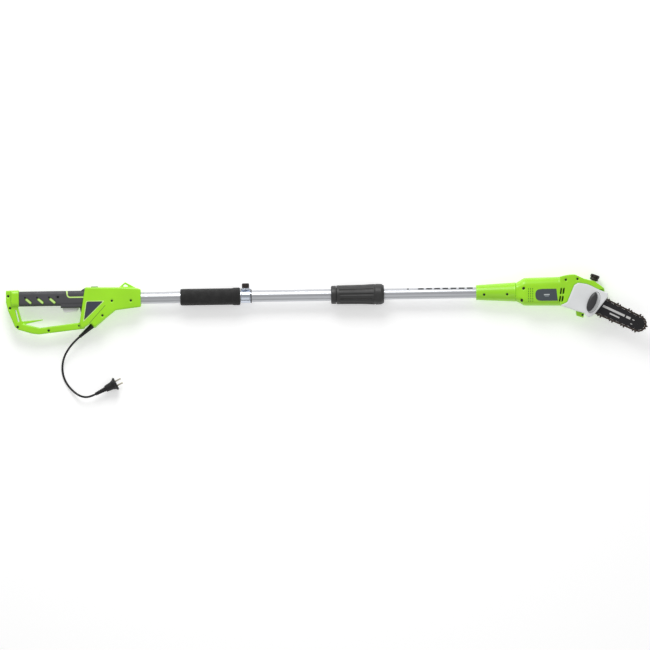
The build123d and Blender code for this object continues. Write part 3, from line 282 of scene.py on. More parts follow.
shell = plastic("shell_green", from_screen(163, 234, 30), 0.34)
shell.shader.inputs["Coat Weight"].default_value = 0.25
shell.shader.inputs["Coat Roughness"].default_value = 0.2
shell.shader.inputs["Subsurface Weight"].default_value = 0.05
shell.shader.inputs["Subsurface Radius"].default_value = (0.002, 0.003, 0.001)
plastic("pale_green", from_screen(205, 244, 140), 0.3)
plastic("grip_rubber", from_screen(72, 72, 75), 0.62, 900, 0.00025, pattern="cells")
plastic("panel_grey", from_screen(58, 62, 76), 0.45)
plastic("screw_black", from_screen(24, 24, 26), 0.32, 1800)
plastic("trigger_grey", from_screen(232, 234, 230), 0.42)
plastic("button_black", from_screen(32, 32, 34), 0.4)
plastic("switch_plastic", from_screen(40, 42, 46), 0.5)
plastic("cable_black", from_screen(20, 20, 21), 0.5, 1500)
plastic("coupler_grey", from_screen(48, 48, 48), 0.46, 2200, 0.00006)
plastic("nylon", from_screen(208, 205, 196), 0.55)
plastic("cover_white", from_screen(238, 240, 241), 0.36)
plastic("cap_black", from_screen(42, 34, 30), 0.42)
plastic("knob_grey", from_screen(58, 58, 60), 0.4)
foam = plastic("foam_black", from_screen(30, 30, 30), 0.95, 1500, 0.0005, pattern="cells")
foam.shader.inputs["Sheen Weight"].default_value = 0.12
foam.shader.inputs["Sheen Roughness"].default_value = 0.6
tank = plastic("tank_plastic", from_screen(222, 214, 186), 0.4)
tank.shader.inputs["Transmission Weight"].default_value = 0.35
print("plastics:", sorted(finishes))

# %% [markdown]
# ## Metals
# The pole is drawn aluminium: the die leaves faint lines along its length, so its noise is
# stretched along X. Chain and bolts are bright or blued steel, and the motor has laminations and
# copper. A metal's colour lives in its reflections, so its base colour is pale.

# %% Metal finishes
def metal(slot, colour, rough, grain=900.0, depth=0.00003, stretch=(1, 1, 1), drift=0.05):
    """A metal finish for one of the record's material slots."""
    finish = Finish(slot, stretch)
    finishes[slot] = finish.surface(colour, rough, grain, depth, drift, metal=1.0)
    return finish


metal("steel", from_screen(172, 174, 178), 0.36)
metal("chrome_steel", from_screen(205, 212, 224), 0.16, 500, 0.00001)
metal("brass_pins", from_screen(196, 190, 176), 0.28)
metal("chain_steel", from_screen(88, 80, 75), 0.38, 1400, 0.00005)
metal("lamination", from_screen(120, 122, 126), 0.42, 1500, 0.00005, stretch=(6, 1, 1))
metal("copper", from_screen(196, 112, 66), 0.35, 1500, 0.0001)
print("metals:", sorted(set(finishes) - {"shell_green"})[:6], "...")

# %% [markdown]
# ## Printed marks
# The upper tube has a printed scale that shows how far it is drawn out: one tick and a row of
# dashes. The bar and the label carry plain stripes in place of any lettering. Decals could be
# floating sheets, but a mask in the material can never lift off or flicker.

# %% Tubes with a printed scale
DRAWN = from_screen(196, 198, 202)
for slot in ("tube_aluminium", "boom_aluminium"):
    boom = metal(slot, DRAWN, 0.34, 700, 0.00002, stretch=(0.03, 1, 1), drift=0.03)
    boom.shader.inputs["Metallic"].default_value = 0.85
SCALE_START = 0.279
SCALE_LENGTH = 0.171
DASH_PITCH = 0.0245
split = boom.tree.nodes.new("ShaderNodeSeparateXYZ")
boom.link(boom.place, split.inputs["Vector"])
along_scale = boom.maths("SUBTRACT", split.outputs["X"], SCALE_START)
dash = boom.maths("LESS_THAN", boom.maths("FLOORED_MODULO", along_scale, DASH_PITCH), DASH_PITCH * 0.7)
started = boom.maths("GREATER_THAN", along_scale, 0)
in_scale = boom.maths("MULTIPLY", started, boom.maths("LESS_THAN", along_scale, SCALE_LENGTH))
tick = boom.maths("LESS_THAN", boom.maths("ABSOLUTE", boom.maths("ADD", along_scale, 0.03)), 0.0022)
marks = boom.maths("MAXIMUM", boom.maths("MULTIPLY", dash, in_scale), tick)
upper_side = boom.maths("GREATER_THAN", split.outputs["Y"], 0.0118)
band = boom.maths("MULTIPLY", upper_side, boom.maths("GREATER_THAN", split.outputs["Z"], 0.003))
boom.paint_over(boom.maths("MULTIPLY", marks, band), from_screen(52, 53, 58))
finishes["boom_aluminium"] = boom.material

# %% Bar and label with plain stripes
sprocket_at = Vector(joints["sprocket_spin"]["pos_m"])
nose_at = Vector(joints["nose_spin"]["pos_m"])
bar_way = Vector((nose_at.x - sprocket_at.x, nose_at.y - sprocket_at.y, 0)).normalized()
bar_side = Vector((-bar_way.y, bar_way.x, 0))
BAR_TILT = atan2(bar_way.y, bar_way.x)


def on_bar(along, across, height=0.0):
    """A point given along the bar from the sprocket, across it, and above the bench frame."""
    point = sprocket_at + bar_way * along + bar_side * across
    return Vector((point.x, point.y, height))


bar_paint = metal("bar_black", from_screen(34, 34, 36), 0.38, 1600, 0.00004)
bar_paint.shader.inputs["Metallic"].default_value = 0.3
white_ink = from_screen(214, 214, 212)
for along, across, half_long, half_wide in (
    (0.120, 0.0035, 0.036, 0.0034),
    (0.168, 0.0035, 0.007, 0.0034),
    (0.128, -0.0085, 0.016, 0.0022),
    (0.185, 0.0034, 0.0034, 0.0013),
    (0.184, -0.0100, 0.0030, 0.0011),
):
    middle = on_bar(along, across)
    bar_paint.paint_over(bar_paint.patch((middle.x, middle.y), BAR_TILT, half_long, half_wide), white_ink)
finishes["bar_black"] = bar_paint.material

label_low, label_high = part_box("label_plate")
label_x = (label_low[0] + label_high[0]) / 2
label_y = (label_low[1] + label_high[1]) / 2
label = plastic("label_dark", from_screen(72, 80, 85), 0.4)
for shift, height, half_long, half_wide, ink in (
    (-0.003, 0.0005, 0.0085, 0.0017, from_screen(196, 202, 202)),
    (-0.003, -0.0040, 0.0060, 0.0009, from_screen(150, 160, 162)),
):
    label.paint_over(label.patch((label_x + shift, label_y + height), 0, half_long, half_wide), ink)
finishes["label_dark"] = label.material

# %% Give every CAD node its finish
node_slots = {name: node.data.materials[0].name.split(".")[0] for name, node in nodes.items()}
for name, node in nodes.items():
    finish_name = {"upper_tube": "boom_aluminium", "bar_core": "bar_black"}.get(name, node_slots[name])
    finish_name = "pale_green" if name.startswith("grip_trim") else finish_name
    for index in range(len(node.data.materials)):
        node.data.materials[index] = finishes[finish_name]
print("nodes with a finish:", len(nodes), "finishes:", len(finishes))

# %% [markdown]
# ## Making pieces
# These helpers serve the rest. They clean a mesh, round a profile, turn it on a lathe, move it,
# join meshes, and put a finished mesh on its CAD body. Meshes are made round the origin and then
# moved as vertices, so every object stays unturned and unscaled.

# %% Helpers that make and place pieces
def closed(mesh, sharp=38):
    """Merges doubled points, turns faces outwards and smooths all but the sharp edges."""
    build = bmesh.new()
    build.from_mesh(mesh)
    bmesh.ops.remove_doubles(build, verts=build.verts, dist=0.000002)
    bmesh.ops.recalc_face_normals(build, faces=build.faces)
    build.to_mesh(mesh)
    build.free()
    mesh.shade_smooth()
    mesh.set_sharp_from_angle(angle=radians(sharp))
    return mesh


def eased(profile, reach, looped=False):
    """Rounds the corners of a profile, by up to reach on each side of a corner."""
    count = len(profile)
    result = []
    for index, (height, radius) in enumerate(profile):
        if not looped and index in (0, count - 1):
            result.append((height, radius))
            continue
        corner = Vector((height, radius))
        before = Vector(profile[index - 1]) - corner
        after = Vector(profile[(index + 1) % count]) - corner
        start = corner + before.normalized() * min(reach, 0.45 * before.length)
        end = corner + after.normalized() * min(reach, 0.45 * after.length)
        for step in range(5):
            t = step / 4
            point = start * (1 - t) ** 2 + corner * 2 * t * (1 - t) + end * t**2
            result.append((point.x, point.y))
    return result


def turned(profile, steps=72, bored=False):
    """A mesh turned about Z from (height, radius) points, hollow if bored."""
    build = bmesh.new()
    rows = []
    for height, radius in profile:
        angles = [2 * pi * step / steps for step in range(steps if radius > 0 else 1)]
        rows.append([build.verts.new((radius * cos(a), radius * sin(a), height)) for a in angles])
    pairs = list(zip(rows, rows[1:]))
    if bored:
        pairs.append((rows[-1], rows[0]))
    for lower, upper in pairs:
        for step in range(steps):
            after = (step + 1) % steps
            if len(lower) == 1:
                build.faces.new((lower[0], upper[after], upper[step]))
            elif len(upper) == 1:
                build.faces.new((lower[step], lower[after], upper[0]))
            else:
                build.faces.new((lower[step], lower[after], upper[after], upper[step]))
    mesh = bpy.data.meshes.new("turned")
    build.to_mesh(mesh)
    build.free()
    return mesh


def carried(mesh, place, way):
    """Moves a mesh's points so that its Z axis starts at a place and points a way."""
    turn = Vector(way).to_track_quat("Z", "Y").to_matrix().to_4x4()
    mesh.transform(Matrix.Translation(Vector(place)) @ turn)
    return mesh


def joined(*meshes):
    """One mesh from several."""
    build = bmesh.new()
    for mesh in meshes:
        build.from_mesh(mesh)
    mesh = bpy.data.meshes.new("joined")
    build.to_mesh(mesh)
    build.free()
    return mesh


def add_piece(name, mesh, slot, body, *stands_for, sharp=38):
    """Puts a finished mesh on its CAD body, with the finish of its slot."""
    closed(mesh, sharp)
    mesh.materials.clear()
    mesh.materials.append(finishes[slot])
    piece = bpy.data.objects.new(name, mesh)
    bpy.context.scene.collection.objects.link(piece)
    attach(piece, body)
    if stands_for:
        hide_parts(*stands_for)
    print(name, "faces:", len(mesh.polygons))
    return piece


# %% [markdown]
# ## Growing pieces with Geometry Nodes
# Flutes, ribs, screws and chain links follow a rule, so each gets a node tree with named inputs.
# Drawing every flute by hand would work once, but a rule can be retuned with one number.
# Each tree ends in Realize Instances and Set Material, and its result is kept as a plain mesh.

# %% A helper that builds node trees, and one that runs them
class Grower:
    """A Geometry Nodes tree under construction, with named sizes as its inputs."""

    def __init__(self, name, sizes, parts=()):
        self.tree = bpy.data.node_groups.new(name, "GeometryNodeTree")
        face = self.tree.interface
        face.new_socket("Geometry", in_out="INPUT", socket_type="NodeSocketGeometry")
        for size, value in sizes.items():
            kind = "NodeSocketInt" if isinstance(value, int) else "NodeSocketFloat"
            face.new_socket(size, in_out="INPUT", socket_type=kind).default_value = value
        for part in parts:
            face.new_socket(part, in_out="INPUT", socket_type="NodeSocketObject")
        face.new_socket("Finish", in_out="INPUT", socket_type="NodeSocketMaterial")
        face.new_socket("Geometry", in_out="OUTPUT", socket_type="NodeSocketGeometry")
        self.sizes = self.tree.nodes.new("NodeGroupInput").outputs
        self.exit = self.tree.nodes.new("NodeGroupOutput").inputs

    def add(self, kind, inputs=None, **settings):
        """Adds a node, sets its options, and feeds its inputs from numbers or other nodes."""
        node = self.tree.nodes.new(kind)
        for setting, value in settings.items():
            setattr(node, setting, value)
        for socket, value in (inputs or {}).items():
            target = node.inputs[socket]
            if isinstance(value, bpy.types.NodeSocket):
                self.tree.links.new(value, target)
            else:
                target.default_value = value
        return node

    def maths(self, operation, first, second=0.0):
        """One sum on two values."""
        return self.add("ShaderNodeMath", {0: first, 1: second}, operation=operation).outputs[0]

    def rise(self, value, start, end):
        """0 before start, 1 after end, and a smooth rise between them."""
        inputs = {"Value": value, "From Min": start, "From Max": end}
        return self.add("ShaderNodeMapRange", inputs, interpolation_type="SMOOTHSTEP").outputs["Result"]

    def done(self, geometry):
        """Ends the tree: real geometry with the finish on it."""
        real = self.add("GeometryNodeRealizeInstances", {"Geometry": geometry})
        inputs = {"Geometry": real.outputs["Geometry"], "Material": self.sizes["Finish"]}
        coated = self.add("GeometryNodeSetMaterial", inputs)
        self.tree.links.new(coated.outputs["Geometry"], self.exit["Geometry"])
        return self.tree


def worked(holder):
    """The plain mesh that a temporary object's modifiers make. The object is removed."""
    bpy.context.scene.collection.objects.link(holder)
    bpy.context.view_layer.update()
    result = holder.evaluated_get(bpy.context.evaluated_depsgraph_get())
    mesh = bpy.data.meshes.new_from_object(result)
    bpy.data.objects.remove(holder)
    return mesh


def grown(data, tree, sizes):
    """Runs a node tree on a mesh or curve and returns the plain mesh that comes out."""
    holder = bpy.data.objects.new("grown", data)
    grower = holder.modifiers.new("grow", "NODES")
    grower.node_group = tree
    for item in tree.interface.items_tree:
        if item.in_out == "INPUT" and item.name in sizes:
            grower[item.identifier] = sizes[item.name]
    return worked(holder)


# %% [markdown]
# ## Mains lead
# A short rubber-sheathed lead leaves the handle's snout and ends in a two-pin plug on the bench.
# A bevelled NURBS curve with a few control points bends as a real cable does, in one smooth
# sweep, where straight runs with rounded corners would look like wire.

# %% The lead's route and curve
LEAD_R = 0.0032
lead_route = [
    (-0.7375, -0.1135, 0.0),
    (-0.752685, -0.126516, 0.0),
    (-0.773, -0.150, -0.007),
    (-0.787, -0.175, -0.019),
    (-0.793, -0.202, -0.030),
    (-0.791, -0.229, -0.03275),
    (-0.780, -0.256, -0.03275),
    (-0.7585, -0.280, -0.0275),
    (-0.7365, -0.294, -0.0185),
    (-0.712062, -0.296004, -0.016),
    (-0.693, -0.2865, -0.016),
]
lead_curve = bpy.data.curves.new("mains_lead", "CURVE")
lead_curve.dimensions = "3D"
lead_line = lead_curve.splines.new("NURBS")
lead_line.points.add(len(lead_route) - 1)
for control, place in zip(lead_line.points, lead_route):
    control.co = (*place, 1)
lead_line.order_u = 3
lead_line.use_endpoint_u = True
lead_line.resolution_u = 12
measured = bpy.data.meshes.new_from_object(bpy.data.objects.new("lead_line", lead_curve))
lead_points = [vertex.co.copy() for vertex in measured.vertices]
lead_length = sum((b - a).length for a, b in zip(lead_points, lead_points[1:]))
lead_curve.bevel_depth = LEAD_R
lead_curve.bevel_resolution = 5
lead_curve.use_fill_caps = True
lead_curve.materials.append(finishes["cable_black"])
mains_lead = bpy.data.objects.new("mains_lead", lead_curve)
bpy.context.scene.collection.objects.link(mains_lead)
print("lead length, metres:", round(lead_length, 4))

# %% [markdown]
# ## Strain relief and plug
# The sleeve that guards the lead at the snout is a soft taper with raised rings, and so is the
# boot of the plug. One rule makes both: a straight tube whose radius shrinks along its length and
# swells at each ring. The plug's body and flange are turned, and its pins have rounded tips.

# %% A rule for ringed, tapering sleeves
ringed = Grower(
    "ringed_sleeve", {"Length": 0.05, "Foot": 0.008, "Tip": 0.004, "Rings": 8.0, "Height": 0.0006}
)
along = ringed.add("ShaderNodeSeparateXYZ", {0: ringed.add("GeometryNodeInputPosition").outputs[0]})
share = ringed.maths("DIVIDE", along.outputs["Z"], ringed.sizes["Length"])
thin = ringed.maths("MULTIPLY", share, ringed.maths("SUBTRACT", ringed.sizes["Tip"], ringed.sizes["Foot"]))
wave = ringed.maths(
    "SINE", ringed.maths("MULTIPLY", ringed.maths("MULTIPLY", share, 2 * pi), ringed.sizes["Rings"])
)
ring_lift = ringed.maths("MULTIPLY", ringed.rise(wave, -0.3, 0.3), ringed.sizes["Height"])
sleeve_r = ringed.maths("ADD", ringed.maths("ADD", ringed.sizes["Foot"], thin), ring_lift)
round_x = ringed.maths("MULTIPLY", along.outputs["X"], sleeve_r)
round_y = ringed.maths("MULTIPLY", along.outputs["Y"], sleeve_r)
spot = ringed.add("ShaderNodeCombineXYZ", {"X": round_x, "Y": round_y, "Z": along.outputs["Z"]})
moved = ringed.add(
    "GeometryNodeSetPosition", {"Geometry": ringed.sizes["Geometry"], "Position": spot.outputs[0]}
)
ringed_tree = ringed.done(moved.outputs["Geometry"])


def ringed_sleeve(length, foot, tip, rings, height):
    """A ringed sleeve along Z, grown from a plain tube of radius 1."""
    rows = [(length * step / 120, 1.0) for step in range(121)]
    tube_mesh = turned([(0.0, 0.0)] + rows + [(length, 0.0)], 40)
    sizes = {"Length": length, "Foot": foot, "Tip": tip, "Rings": float(rings), "Height": height}
    return grown(tube_mesh, ringed_tree, sizes | {"Finish": finishes["cable_black"]})


# %% Strain relief at the snout
SNOUT_TIP = Vector((-0.699, -0.0805, 0))
lead_start = Vector(lead_route[0])
lead_way = (lead_start - SNOUT_TIP).normalized()
relief_length = (lead_start - SNOUT_TIP).length
relief_root = carried(
    turned(eased([(-0.016, 0), (-0.016, 0.0079), (0.002, 0.0079), (0.002, 0)], 0.0005), 40),
    SNOUT_TIP,
    lead_way,
)
relief_sleeve = carried(
    ringed_sleeve(relief_length - 0.0035, 0.0078, 0.0042, 9, 0.0007), SNOUT_TIP, lead_way
)
relief_tip = carried(
    turned(eased([(-0.0035, 0), (-0.0035, 0.0053), (0, 0.0053), (0, 0)], 0.0012), 40),
    lead_start,
    lead_way,
)
strain_sleeve = add_piece(
    "strain_sleeve", joined(relief_root, relief_sleeve, relief_tip), "cable_black", "handle",
    "strain_relief",
)

# %% Plug body, flange and pins
plug_at = Vector(lead_route[-1])
plug_way = (plug_at - Vector(lead_route[-2])).normalized()
plug_boot = ringed_sleeve(0.034, 0.0046, 0.0068, 6, 0.0006)
plug_profile = [
    (0.033, 0), (0.033, 0.0098), (0.045, 0.0112), (0.054, 0.0122), (0.062, 0.0158), (0.0645, 0.0196)
]
plug_profile += [(0.070, 0.0196), (0.070, 0)]
plug_shape = turned(eased(plug_profile, 0.0016), 64)
plug_piece = add_piece(
    "plug",
    carried(joined(plug_boot, plug_shape), plug_at, plug_way),
    "cable_black",
    "handle",
    "plug_body",
)
PIN_ROLL = radians(44)
pin_meshes = []
for way in (-1, 1):
    pin_mesh = turned(eased([(0.0695, 0), (0.0695, 0.0024), (0.0885, 0.0024), (0.0885, 0)], 0.0016), 24)
    carried(pin_mesh, plug_at, plug_way)
    aside = Vector((-plug_way.y, plug_way.x, 0)) * cos(PIN_ROLL) + Vector((0, 0, 1)) * sin(PIN_ROLL)
    pin_mesh.transform(Matrix.Translation(aside * way * 0.0095))
    pin_meshes.append(pin_mesh)
plug_prongs = add_piece("plug_prongs", joined(*pin_meshes), "brass_pins", "handle", "plug_pins")

# %% The lead rides on the handle
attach(mains_lead, "handle")
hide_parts("mains_cord")

# %% [markdown]
# ## Soft edges on the moulded shells
# A moulding has no knife edges: every corner has a radius of a millimetre or two, and the two
# halves meet in a shallow groove. Bevelling an imported mesh edge by edge often breaks. Wrapping
# a merged copy in an even skin of small faces and relaxing it rounds every corner in one go.

# %% A helper that wraps and relaxes a shell
def through(mesh, *steps, group=None):
    """Runs modifiers, each a kind and its settings, on a mesh and returns the plain result."""
    holder = bpy.data.objects.new("worked", mesh)
    if group:
        outer = holder.vertex_groups.new(name="outer")
        for index, weight in group.items():
            outer.add([index], weight, "REPLACE")
    for kind, settings in steps:
        step = holder.modifiers.new(kind, kind)
        for setting, value in settings.items():
            setattr(step, setting, value)
    return worked(holder)


OUTER_BLEND = 0.003


def softened(node_name, grain, relax, outer_relax=0, outer_from=0.009):
    """A copy of a CAD node with rounded edges, rounder still where it is far from the middle plane."""
    copy = closed(nodes[node_name].data.copy())
    wrapped = through(copy, ("REMESH", {"mode": "VOXEL", "voxel_size": grain}))
    if outer_relax:
        weights = {}
        for vertex in wrapped.vertices:
            weight = min(1.0, max(0.0, (abs(vertex.co.z) - outer_from) / OUTER_BLEND))
            if weight > 0:
                weights[vertex.index] = weight
        relaxing = {"factor": 0.5, "iterations": outer_relax, "vertex_group": "outer"}
        wrapped = through(wrapped, ("SMOOTH", relaxing), group=weights)
    return through(wrapped, ("SMOOTH", {"factor": 0.5, "iterations": relax}), ("DECIMATE", {"ratio": 0.45}))


def shouldered(mesh, start, end, middle, narrow, low):
    """Draws the barrel's rear end in to a sloping shoulder, between two places along the pole."""
    for vertex in mesh.vertices:
        share = (vertex.co.x - start) / (end - start)
        if 0 <= share < 1:
            rise = share * share * (3 - 2 * share)
            vertex.co.y = middle + (vertex.co.y - middle) * (narrow + (1 - narrow) * rise)
            vertex.co.z *= low + (1 - low) * rise
    return mesh


# %% Soften the handle, head and cover
SHOULDER_START = 0.5715
for node_name, body, grain, relax, outer_relax in (
    ("handle_shell_right", "handle", 0.0011, 4, 26),
    ("handle_shell_left", "handle", 0.0011, 4, 26),
    ("motor_housing_right", "boom", 0.0011, 4, 26),
    ("motor_housing_left", "boom", 0.0011, 4, 26),
    ("sprocket_cover", "boom", 0.0008, 6, 40),
    ("grip_pad_right", "handle", 0.0008, 4, 0),
    ("grip_pad_left", "handle", 0.0008, 4, 0),
    ("trigger", "trigger", 0.0007, 8, 0),
    ("lock_button", "lock_button", 0.0005, 4, 0),
):
    moulding = softened(node_name, grain, relax, outer_relax)
    if node_name.startswith("motor_housing"):
        shouldered(moulding, SHOULDER_START, SHOULDER_START + 0.028, -0.002, 0.77, 0.9)
    add_piece(f"{node_name}_moulding", moulding, node_slots[node_name], body, node_name, sharp=70)

# %% [markdown]
# ## Fluted turnings
# The twist collar, the clamp's knob and the oil cap are all gripped and twisted by hand, so each
# has flutes cut round a turned body. One rule serves all three: it pulls points towards the axis
# in evenly spaced waves, only between two heights and only on the outside.

# %% The rule for flutes
fluted = Grower(
    "flutes",
    {"Count": 12.0, "Depth": 0.002, "Start": 0.0, "End": 0.1, "Ease": 0.004, "Outside": 0.02, "Width": 0.5},
)
here = fluted.add("ShaderNodeSeparateXYZ", {0: fluted.add("GeometryNodeInputPosition").outputs[0]})
square_x = fluted.maths("MULTIPLY", here.outputs["X"], here.outputs["X"])
square_y = fluted.maths("MULTIPLY", here.outputs["Y"], here.outputs["Y"])
reach = fluted.maths("SQRT", fluted.maths("ADD", square_x, square_y))
around = fluted.maths("ARCTAN2", here.outputs["Y"], here.outputs["X"])
ripple = fluted.maths("COSINE", fluted.maths("MULTIPLY", around, fluted.sizes["Count"]))
edge = fluted.maths("SUBTRACT", 1.0, fluted.maths("MULTIPLY", fluted.sizes["Width"], 2.0))
dip = fluted.rise(ripple, edge, 1.0)
full_from = fluted.maths("ADD", fluted.sizes["Start"], fluted.sizes["Ease"])
after_start = fluted.rise(here.outputs["Z"], fluted.sizes["Start"], full_from)
full_to = fluted.maths("SUBTRACT", fluted.sizes["End"], fluted.sizes["Ease"])
before_end = fluted.rise(here.outputs["Z"], fluted.sizes["End"], full_to)
outside = fluted.maths("GREATER_THAN", reach, fluted.sizes["Outside"])
span = fluted.maths("MULTIPLY", fluted.maths("MULTIPLY", after_start, before_end), outside)
cut = fluted.maths("MULTIPLY", fluted.maths("MULTIPLY", dip, span), fluted.sizes["Depth"])
shrink = fluted.maths("SUBTRACT", 1.0, fluted.maths("DIVIDE", cut, fluted.maths("MAXIMUM", reach, 0.0001)))
cut_x = fluted.maths("MULTIPLY", here.outputs["X"], shrink)
cut_y = fluted.maths("MULTIPLY", here.outputs["Y"], shrink)
cut_spot = fluted.add("ShaderNodeCombineXYZ", {"X": cut_x, "Y": cut_y, "Z": here.outputs["Z"]})
cut_mesh = fluted.add(
    "GeometryNodeSetPosition", {"Geometry": fluted.sizes["Geometry"], "Position": cut_spot.outputs[0]}
)
flutes_tree = fluted.done(cut_mesh.outputs["Geometry"])


def with_flutes(turning, slot, **sizes):
    """A turned mesh with flutes cut round it, by the rule's named sizes."""
    named = {size.capitalize(): value for size, value in sizes.items()}
    return grown(turning, flutes_tree, named | {"Finish": finishes[slot]})


def filled(profile, step):
    """Adds points along a profile's long runs, so that flutes have points to bend."""
    result = [profile[0]]
    for (z0, r0), (z1, r1) in zip(profile, profile[1:]):
        parts = max(1, round(hypot(z1 - z0, r1 - r0) / step))
        result += [(z0 + (z1 - z0) * k / parts, r0 + (r1 - r0) * k / parts) for k in range(1, parts + 1)]
    return result


# %% Twist collar, coupler end and foam grip on the pole
ALONG_POLE = ((0, 0, 0), (1, 0, 0))
collar_low, collar_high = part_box("twist_collar")
X0 = collar_low[0]
X1 = collar_high[0]
collar_profile = [
    (X0, 0.0219), (X0, 0.0272), (X0 + 0.004, 0.0286), (X0 + 0.076, 0.0294), (X1 - 0.030, 0.0312)
]
collar_profile += [
    (X1 - 0.0265, 0.0298), (X1 - 0.024, 0.0313), (X1 - 0.008, 0.0308), (X1, 0.0262), (X1, 0.0170)
]
collar_profile += [(X1 - 0.008, 0.0170), (X1 - 0.011, 0.0219)]
collar_turning = turned(filled(eased(collar_profile, 0.0012, looped=True), 0.0016), 240, bored=True)
collar_mesh = with_flutes(
    collar_turning, "coupler_grey", count=12.0, depth=0.0023, start=X0 + 0.007, end=X1 - 0.029, ease=0.006,
    outside=0.0235, width=0.42,
)
add_piece(
    "grip_collar", carried(collar_mesh, *ALONG_POLE), "coupler_grey", "twist_collar", "twist_collar",
    sharp=50,
)

coupler_low, coupler_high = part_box("coupler_body")
C0 = coupler_low[0]
coupler_profile = [
    (C0, 0.0179), (C0, 0.0252), (C0 + 0.003, 0.0274), (X0 - 0.0008, 0.0274), (X0 - 0.0008, 0.0214)
]
coupler_profile += [(coupler_high[0], 0.0214), (coupler_high[0], 0.0179)]
coupler_mesh = turned(eased(coupler_profile, 0.0009, looped=True), 96, bored=True)
add_piece("coupler_end", carried(coupler_mesh, *ALONG_POLE), "coupler_grey", "handle", "coupler_body")

foam_low, foam_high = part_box("foam_grip")
F0 = foam_low[0]
F1 = foam_high[0]
foam_profile = [
    (F0, 0.0180), (F0, 0.0226), (F0 + 0.0028, 0.0247), (F0 + 0.012, 0.0250), (F1 - 0.024, 0.0250),
    (F1 - 0.0215, 0.0264),
]
foam_profile += [(F1 - 0.0025, 0.0267), (F1, 0.0240), (F1, 0.0180)]
foam_turning = turned(filled(eased(foam_profile, 0.0022, looped=True), 0.003), 96, bored=True)
foam_piece = add_piece(
    "foam_sleeve", carried(foam_turning, *ALONG_POLE), "foam_black", "handle", "foam_grip"
)

# %% [markdown]
# ## Strap clamp
# A bright steel band is drawn tight round the tube by a small fluted knob that stands on a wide
# washer. The band's edges are rolled outwards a little, so they catch a line of light.

# %% Band, washer and knob
band_low, band_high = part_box("clamp_band")
B0 = band_low[0]
B1 = band_high[0]
band_profile = [
    (B0, 0.0191), (B0, 0.0205), (B0 + 0.002, 0.0205), (B0 + 0.003, 0.0200), (B1 - 0.003, 0.0200)
]
band_profile += [(B1 - 0.002, 0.0205), (B1, 0.0205), (B1, 0.0191)]
band_ring = carried(turned(eased(band_profile, 0.0005, looped=True), 96, bored=True), *ALONG_POLE)
knob_low, knob_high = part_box("clamp_knob")
clamp_x = (knob_low[0] + knob_high[0]) / 2
ear_build = bmesh.new()
for side in (-1, 1):
    ear = bmesh.ops.create_cube(ear_build, size=1.0)
    ear_size = Matrix.Diagonal((0.026, 0.0088, 0.0022, 1))
    bmesh.ops.transform(
        ear_build,
        matrix=Matrix.Translation((clamp_x, 0.0164, side * 0.0068)) @ ear_size,
        verts=ear["verts"],
    )
bmesh.ops.bevel(ear_build, geom=list(ear_build.edges), offset=0.0006, segments=2, affect="EDGES")
ear_mesh = bpy.data.meshes.new("ears")
ear_build.to_mesh(ear_mesh)
ear_build.free()
add_piece("clamp_strap", joined(band_ring, ear_mesh), "chrome_steel", "handle", "clamp_band")

washer_low, washer_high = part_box("clamp_washer")
W0 = washer_low[1]
W1 = washer_high[1]
washer_profile = [
    (W0, 0.0036), (W0, 0.0150), (W0 + 0.0006, 0.0159), (W1 - 0.0004, 0.0159), (W1, 0.0148),
    (W1 - 0.0005, 0.0036),
]
washer_mesh = carried(
    turned(eased(washer_profile, 0.0003, looped=True), 72, bored=True), (clamp_x, 0, 0), (0, 1, 0)
)
add_piece("clamp_dish", washer_mesh, "chrome_steel", "handle", "clamp_washer")

K0 = knob_low[1]
K1 = knob_high[1]
knob_profile = [
    (K0, 0), (K0, 0.0029), (K0 + 0.0027, 0.0029), (K0 + 0.0027, 0.0104), (K0 + 0.0045, 0.0115),
    (K1 - 0.002, 0.0113), (K1, 0.0092), (K1 - 0.0006, 0),
]
knob_turning = turned(filled(eased(knob_profile, 0.0009), 0.0008), 144)
knob_mesh = with_flutes(
    knob_turning, "cap_black", count=6.0, depth=0.0021, start=K0 + 0.0035, end=K1 + 0.004, ease=0.0025,
    outside=0.0060, width=0.4,
)
add_piece(
    "clamp_handwheel", carried(knob_mesh, (clamp_x, 0, 0), (0, 1, 0)), "cap_black", "clamp_knob",
    "clamp_knob", sharp=50,
)

# %% [markdown]
# ## Oil cap
# The cap of the chain-oil tank has six lobes for wet gloves, a flat skirt and a short plug that
# goes down the filler neck. It leans forward with the neck.

# %% Lobed oil cap
cap_joint = joints["oil_cap_turn"]
cap_profile = [
    (-0.004, 0), (-0.004, 0.0058), (0.0038, 0.0061), (0.0042, 0.0122), (0.0055, 0.0129), (0.0105, 0.0128),
    (0.0122, 0.0112),
]
cap_profile += [(0.0128, 0.0146), (0.0200, 0.0144), (0.0219, 0.0122), (0.0212, 0.0050), (0.0205, 0)]
cap_turning = turned(filled(eased(cap_profile, 0.0010), 0.0008), 180)
cap_mesh = with_flutes(
    cap_turning, "cap_black", count=6.0, depth=0.0046, start=0.0118, end=0.0260, ease=0.0016,
    outside=0.0062, width=0.52,
)
add_piece(
    "oil_cap_lobed",
    carried(cap_mesh, cap_joint["pos_m"], cap_joint["axis"]),
    "cap_black",
    "oil_cap",
    "oil_cap",
    sharp=50,
)
